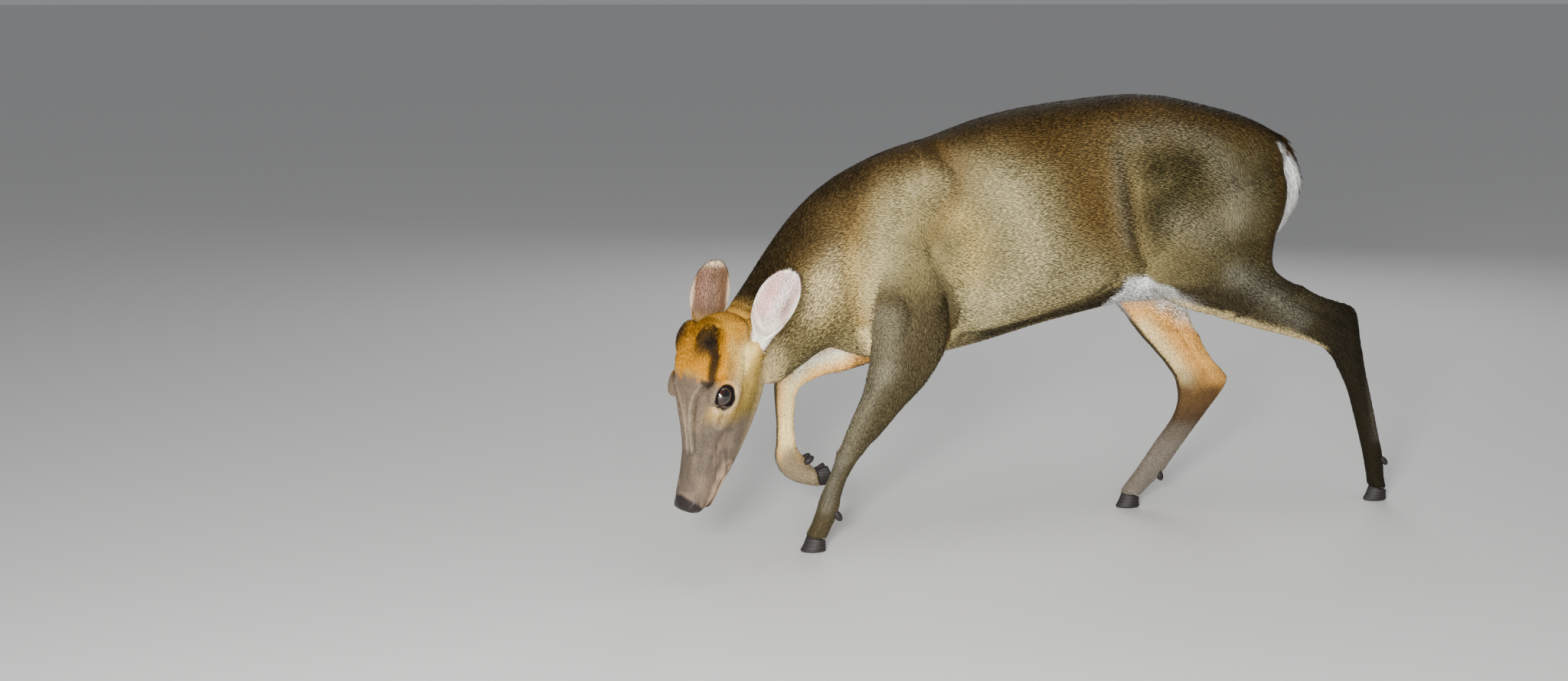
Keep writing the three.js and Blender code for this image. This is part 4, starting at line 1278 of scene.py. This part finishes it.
def packed(sizes, margin):
    """Places for boxes in a unit square, in rows, and the scale that lets them fit."""
    order = sorted(sizes, key=lambda k: -sizes[k][1])
    scale = 2.0
    while True:
        x, y, high, places = margin, margin, 0, {}
        for k in order:
            w, h = sizes[k][0] * scale, sizes[k][1] * scale
            if x + w + margin > 1:
                x, y, high = margin, y + high + margin, 0
            places[k] = (x, y)
            x += w + margin
            high = max(high, h)
        if y + high + margin <= 1 and all(sizes[k][0] * scale < 0.98 for k in sizes):
            return places, scale
        scale *= 0.97


chart_low, chart_size = {}, {}
for chart in np.unique(face_chart):
    used = skin_points[skin_faces[face_chart == chart].ravel()]
    pick = used[:, CHART_AXES[int(chart) // 2 % 3]]
    chart_low[chart] = pick.min(0)
    chart_size[chart] = pick.max(0) - pick.min(0) + 1e-4
chart_place, chart_scale = packed(chart_size, 0.004)


def map_places(points, charts):
    """Places on the map for points that lie in the given charts."""
    out = np.zeros((len(points), 2))
    for chart in np.unique(charts):
        mine = charts == chart
        pick = points[mine][:, CHART_AXES[int(chart) // 2 % 3]]
        out[mine] = (pick - chart_low[chart]) * chart_scale + chart_place[chart]
    return out


def add_map(mesh, places):
    layer = mesh.uv_layers.new(name="OFBake")
    layer.data.foreach_set("uv", np.asarray(places, np.float32).ravel())


def add_colour(mesh, colour):
    layer = mesh.color_attributes.new("coat", "FLOAT_COLOR", "POINT")
    four = np.column_stack([np.clip(colour, 0, 1), np.ones(len(colour))])
    layer.data.foreach_set("color", four.astype(np.float32).ravel())


# Materials


def add_node(tree, kind, **values):
    """A shader node with values for its inputs, whose names are written with _ for a space."""
    made = tree.nodes.new("ShaderNode" + kind)
    for name, value in values.items():
        made.inputs[name.replace("_", " ")].default_value = value
    return made


def attribute_node(tree, name):
    made = add_node(tree, "Attribute")
    made.attribute_name = name
    return made


def wire(tree, *rows):
    """Links, each from a node's output to another node's input."""
    for start, out, end, into in rows:
        tree.links.new(start.outputs[out], end.inputs[into])


def new_material(name, **values):
    material = bpy.data.materials.new(name)
    material.use_nodes = True
    shader = material.node_tree.nodes["Principled BSDF"]
    for key, value in values.items():
        shader.inputs[key.replace("_", " ")].default_value = value
    return material, material.node_tree, shader


def coat_tone_group():
    """The coat's colour from its attribute, broken up by fine noise."""
    group = bpy.data.node_groups.new("coat_tone", "ShaderNodeTree")
    for name, way, kind in (
        ("Scale", "INPUT", "NodeSocketFloat"), ("Amount", "INPUT", "NodeSocketFloat"),
        ("Color", "OUTPUT", "NodeSocketColor"), ("Height", "OUTPUT", "NodeSocketFloat"),
    ):
        group.interface.new_socket(name, in_out=way, socket_type=kind)
    start = group.nodes.new("NodeGroupInput")
    end = group.nodes.new("NodeGroupOutput")
    colour = attribute_node(group, "coat")
    where = add_node(group, "TexCoord")
    noise = add_node(group, "TexNoise", Detail=4)
    level = add_node(group, "MapRange", From_Min=0.3, From_Max=0.7, To_Min=-0.5, To_Max=0.5)
    times = add_node(group, "Math")
    times.operation = "MULTIPLY_ADD"
    times.inputs[2].default_value = 1
    scaled = add_node(group, "VectorMath")
    scaled.operation = "SCALE"
    wire(
        group,
        (where, "Object", noise, "Vector"), (start, "Scale", noise, "Scale"),
        (noise, "Fac", level, "Value"), (level, "Result", times, 0), (start, "Amount", times, 1),
        (colour, "Color", scaled, 0), (times, "Value", scaled, "Scale"),
        (scaled, "Vector", end, "Color"), (noise, "Fac", end, "Height"),
    )
    return group


coat_tone = coat_tone_group()


def coat_material(name, roughness, scale, amount):
    made = new_material(name, Roughness=roughness, Specular_IOR_Level=0.14)
    tone_node = add_node(made[1], "Group")
    tone_node.node_tree = coat_tone
    tone_node.inputs["Scale"].default_value = scale
    tone_node.inputs["Amount"].default_value = amount
    wire(made[1], (tone_node, "Color", made[2], "Base Color"))
    return *made, tone_node


coat_finish = coat_material("coat", 0.62, 700, 0.25)[0]
skin_material, skin_tree, skin_shader, skin_tone = coat_material("skin", 0.8, 900, 0.3)
skin_bump = add_node(skin_tree, "Bump", Strength=0.5, Distance=0.0006)
skin_wetness = attribute_node(skin_tree, "wet")
wet_range = add_node(skin_tree, "MapRange", To_Min=0.8, To_Max=0.25)
wire(
    skin_tree,
    (skin_tone, "Height", skin_bump, "Height"), (skin_bump, "Normal", skin_shader, "Normal"),
    (skin_wetness, "Fac", wet_range, "Value"), (wet_range, "Result", skin_shader, "Roughness"),
)

# The skin

skin_mesh = make_mesh("skin", skin_points, skin_faces)
add_map(skin_mesh, map_places(skin_points[skin_faces.ravel()], np.repeat(face_chart, 3)))
add_colour(skin_mesh, skin_colour)
wet_layer = skin_mesh.attributes.new("wet", "FLOAT", "POINT")
wet_layer.data.foreach_set("value", skin_wet.astype(np.float32))
skin = make_object("skin", skin_mesh, skin_material)
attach(skin, "root")
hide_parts(*node_names)

# The coat

MOST_TUFTS = 49000
# roots tried for each spacing's square, and the grid that thins them, as a share of the spacing
TRIES = 3.0
GRID_SHARE = 0.93
# tufts keep clear of the wet nose, the eyes and the hooves
WET_LIMIT = 0.3
EYE_CLEAR = 17.5
LOWEST_TUFT = 21
# a tuft's widest place, as shares of its length and of its lift
WIDEST_AT = 0.42
WIDEST_LIFT = 0.62


def scatter():
    """Roots spread evenly over the skin, at the coat's own spacing: face and place in it."""
    a, b, c = corner_a, corner_b, corner_c
    area = norm(np.cross(b - a, c - a)) / 2
    spacing = skin_fields["spacing"][skin_faces].mean(1) / 1000 * by_run(1)
    past = past_nape((a + b + c) / 3)
    front = (a + b + c)[:, 0] / 3 < SHIFT[0] / 1000
    is_head = skin_is_head[skin_faces[:, 0]]
    is_ear = node_mask(skin_node[skin_faces[:, 0]], "ear_") > 0
    area[is_head & ~is_ear & (past < NAPE_SEAM)] = 0
    area[~is_head & front & (past >= NAPE_SEAM)] = 0
    count = random.poisson(area / spacing**2 * TRIES)
    face = np.repeat(np.arange(len(skin_faces)), count)
    u, v = random.random((2, len(face)))
    over = u + v > 1
    u[over], v[over] = 1 - u[over], 1 - v[over]
    share = np.stack([1 - u - v, u, v], 1)
    place = (skin_points[skin_faces[face]] * share[:, :, None]).sum(1)
    cell = np.floor(place / (spacing[face, None] * GRID_SHARE)).astype(np.int64)
    key = (cell * HASH).sum(1)
    _, first = np.unique(key, return_index=True)
    return face[first], share[first], place[first]


tuft_face, tuft_share, tuft_root = scatter()
tuft_corner = skin_faces[tuft_face]


def at_roots(values):
    if values.ndim == 1:
        return (values[tuft_corner] * tuft_share).sum(1)
    return (values[tuft_corner] * tuft_share[:, :, None]).sum(1)


tuft_node = skin_node[tuft_corner[:, 0]]
tuft_normal = unit(at_roots(skin_normals))
tuft_local = stance_to_head(to_stance(tuft_root))
tuft_eye = np.min([norm(tuft_local - (0, side * 46, 0)) for side in SIDES], axis=0)
keep = (at_roots(skin_wet) < WET_LIMIT) & (tuft_eye > EYE_CLEAR)
keep &= to_stance(tuft_root)[:, 2] > LOWEST_TUFT
tuft_face, tuft_share, tuft_root = tuft_face[keep], tuft_share[keep], tuft_root[keep]
tuft_corner, tuft_node, tuft_normal = tuft_corner[keep], tuft_node[keep], tuft_normal[keep]
tuft_flow = tangent(at_roots(skin_flow), tuft_normal)
depth = at_roots(skin_fields["depth"]) / 1000
length = at_roots(skin_fields["length"]) / 1000
width = at_roots(skin_fields["width"]) / 1000 * by_run(1)
total = len(tuft_root)
stray = random.normal(0, 0.11, total)
side_way = np.cross(tuft_normal, tuft_flow)
tuft_flow = tuft_flow * np.cos(stray)[:, None] + side_way * np.sin(stray)[:, None]
side_way = np.cross(tuft_normal, tuft_flow)
length = length * random.uniform(0.78, 1.2, total)
width = width * random.uniform(0.8, 1.2, total)
lift = depth * random.uniform(0.75, 1.05, total)


def along_tuft(out, up, side=0.0):
    return (
        tuft_root + tuft_flow * (out * length)[:, None] + tuft_normal * up[:, None]
        + side_way * (side * width)[:, None]
    )


tuft_points = np.stack([
    along_tuft(0.0, -0.2 * depth - 0.0002),
    along_tuft(WIDEST_AT, WIDEST_LIFT * lift, 0.5),
    along_tuft(WIDEST_AT, WIDEST_LIFT * lift, -0.5),
    along_tuft(1.0, lift),
], axis=1)
# a tuft's triangles, and the small patch of the map that its four points take
TUFT_FACES = np.array([(0, 2, 1), (3, 1, 2), (0, 1, 3), (0, 3, 2)])
MAP_PATCH = np.array([(0, 0), (0.001, 0.0011), (0.001, -0.0011), (0.0028, 0)])
shade = 1 + random.normal(0, 0.085, total)
grizzle = random.random(total)
deep = step(depth * 1000, 1.6, 3.0)
tip_pale = np.where(grizzle > 0.72, 0.3, 0.0) * deep
tip_dark = np.where(grizzle < 0.2, 0.3, 0.0) * deep
tuft_tone = at_roots(skin_colour) * np.clip(shade, 0.7, 1.35)[:, None]
vertex_tone = np.repeat(tuft_tone[:, None, :], 4, axis=1)
vertex_tone[:, 0] *= 0.8
vertex_tone[:, 3] *= (1.06 + 0.5 * tip_pale - tip_dark)[:, None]
vertex_tone[:, 3] += (TONES["pale"] - vertex_tone[:, 3]) * (0.6 * tip_pale)[:, None]
tuft_uv = map_places(tuft_root, face_chart[tuft_face])[:, None, :] + MAP_PATCH

# slot and word in the nodes' names for each part of the coat
COATS = {
    "coat_head": ("head_coat", "head"), "coat_ears": ("ear_coat", "ear_"),
    "coat_neck": ("body_coat", "neck"), "coat_torso": ("body_coat", "torso"),
    "coat_forelegs": ("leg_coat", "foreleg"), "coat_hindlegs": ("leg_coat", "hindleg"),
    "coat_tail": ("tail_coat", "tail"),
}
for name, (slot, word) in COATS.items():
    mine = np.flatnonzero(node_mask(tuft_node, word) > 0)
    mine = mine[np.argsort(tuft_root[mine, 0], kind="stable")]
    pieces = max(1, math.ceil(len(mine) / MOST_TUFTS))
    for number, part in enumerate(np.array_split(mine, pieces)):
        corners = (np.arange(len(part))[:, None, None] * 4 + TUFT_FACES).reshape(-1, 3)
        mesh = make_mesh(name, tuft_points[part].reshape(-1, 3), corners)
        add_map(mesh, tuft_uv[part].reshape(-1, 2)[corners.ravel()])
        add_colour(mesh, vertex_tone[part].reshape(-1, 3))
        piece = make_object(f"{name}_{number + 1}" if pieces > 1 else name, mesh, coat_finish)
        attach(piece, "root")
print("tufts", total, "skin triangles", len(skin_faces))

# Eyes, hooves and dewclaws


def rounded(names, voxel, turns):
    """The solids of the named nodes, remeshed and with their edges softened."""
    points, faces = remeshed(*joined([node_shape(name) for name in names]), voxel)
    web = Web(faces, len(points))
    for _ in range(turns):
        # one turn out for each turn in, so that the whole doesn't shrink
        points = web.smooth(web.smooth(points, 1), 1, -0.52)
    return web.smooth(points, 3), faces


LEAST_CLAW = 0.0035


def claw_shape(name):
    """A smooth round form that fills its node, along the node's own axes."""
    places = node_shape(name)[0]
    middle = (places.max(0) + places.min(0)) / 2
    ways = np.linalg.svd(places - places.mean(0), full_matrices=False)[2]
    ways[2] *= np.sign(np.linalg.det(ways))
    reach = np.abs((places - middle) @ ways.T).max(0)
    points, faces = ball((0, 0, 0), (1, 1, 1), 28, 20)
    points = points[:, [2, 0, 1]]
    return middle + (points * np.maximum(reach, LEAST_CLAW)) @ ways, faces


# horn with rings of growth across it
hoof_horn, horn_tree, horn_shader = new_material(
    "hoof_horn", Roughness=0.6, Specular_IOR_Level=0.25
)
horn_place = add_node(horn_tree, "TexCoord")
rings = add_node(horn_tree, "TexWave", Scale=70, Distortion=4, Detail=3)
rings.wave_type = "BANDS"
rings.bands_direction = "Z"
ramp = add_node(horn_tree, "ValToRGB")
ramp.color_ramp.elements[0].color = (0.012, 0.01, 0.009, 1)
ramp.color_ramp.elements[1].color = (0.024, 0.019, 0.017, 1)
horn_bump = add_node(horn_tree, "Bump", Strength=0.15, Distance=0.0004)
wire(
    horn_tree,
    (horn_place, "Object", rings, "Vector"), (rings, "Fac", ramp, "Fac"),
    (ramp, "Color", horn_shader, "Base Color"), (rings, "Fac", horn_bump, "Height"),
    (horn_bump, "Normal", horn_shader, "Normal"),
)
hoof_nodes = [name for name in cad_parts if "hoof" in name]
claw_nodes = [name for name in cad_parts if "dewclaw" in name]
for name, shape, nodes in (
    ("hooves", rounded(hoof_nodes, by_run(0.0011), 8), hoof_nodes),
    ("dewclaws", joined([claw_shape(name) for name in claw_nodes]), claw_nodes),
):
    horn = make_object(name, make_mesh(name, *shape), hoof_horn)
    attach(horn, "root")
    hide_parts(*nodes)

# An eye: a ball with a slightly fuller cornea, its brown iris and the wide pupil as colours on it


def eye_shape(side):
    points, faces = ball((0, 0, 0), (1, 1, 1), 96, 64)
    points = unit(points[:, [0, 2, 1]] * (1, side, 1))
    faces = faces if side < 0 else faces[:, [0, 2, 1]]
    across, up = points[:, 0], points[:, 2]
    front = step(points[:, 1] * side, 0.5, 1.0)
    size = EYE_RADIUS - 0.3 + 0.5 * front
    centre = np.array([0, side * EYE_OUT, 0])
    turn = math.radians(14)
    u = across * math.cos(turn) + up * math.sin(turn)
    v = -across * math.sin(turn) + up * math.cos(turn)
    pupil = fall(np.hypot(u / 0.56, v / 0.34), 0.86, 1.06)
    iris = fall(np.hypot(u, v), 0.72, 0.86)
    rays = value_noise(np.stack([np.arctan2(v, u) * 20, np.hypot(u, v) * 3, u * 0], 1), 1, 31)
    rays, iris, pupil = rays[:, None], iris[:, None], pupil[:, None]
    colour = tone(60, 44, 34) * (1 - iris) + tone(46, 26, 15) * (0.7 + 0.6 * rays) * iris
    colour = colour * (1 - pupil) + tone(5, 4, 5) * pupil
    points = to_frame(head_to_stance(points * size[:, None] + centre))
    return points, faces, colour


eye_material, eye_tree, eye_shader = new_material(
    "eye_gloss", Roughness=0.05, Coat_Weight=1.0, Coat_Roughness=0.02
)
wire(eye_tree, (attribute_node(eye_tree, "coat"), "Color", eye_shader, "Base Color"))
for side, name in ((-1, "left"), (1, "right")):
    points, faces, colour = eye_shape(side)
    eye_mesh = make_mesh("eyeball", points, faces)
    add_colour(eye_mesh, colour)
    eyeball = make_object("eyeball_" + name, eye_mesh, eye_material)
    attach(eyeball, "root")
    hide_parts("eye_" + name)

# Floor and light

FLOOR_CORNERS = np.array([(-300, -300, 0), (300, -300, 0), (300, 300, 0), (-300, 300, 0)])
floor_mesh = make_mesh("floor", FLOOR_CORNERS, np.array([(0, 1, 2, 3)]))
floor_material = new_material("floor", Roughness=0.7, Base_Color=(0.72, 0.71, 0.69, 1))[0]
floor = make_object("floor", floor_mesh, floor_material)

world = bpy.data.worlds.new("studio")
bpy.context.scene.world = world
world.use_nodes = True
background = world.node_tree.nodes["Background"]
background.inputs["Color"].default_value = (0.86, 0.88, 0.92, 1)
background.inputs["Strength"].default_value = 0.3
# lamps: place, target, power and size
LAMPS = {
    "key": ((-1.36, -2.05, 0.84), (-0.32, 0, 0.3), 80, 0.4),
    "low": ((-1.0, -2.1, 0.3), (-0.2, 0, 0.2), 52, 0.7),
    "top": ((0.1, -0.4, 2.6), (0, 0, 0.3), 13, 1.6),
    "rim": ((1.2, 2.0, 1.6), (0, 0, 0.35), 20, 1.2),
}
for name, (place, target, power, size) in LAMPS.items():
    light = bpy.data.lights.new(name, "AREA")
    light.energy = power
    light.size = size
    place_object(name, light, place, Vector(target) - Vector(place))
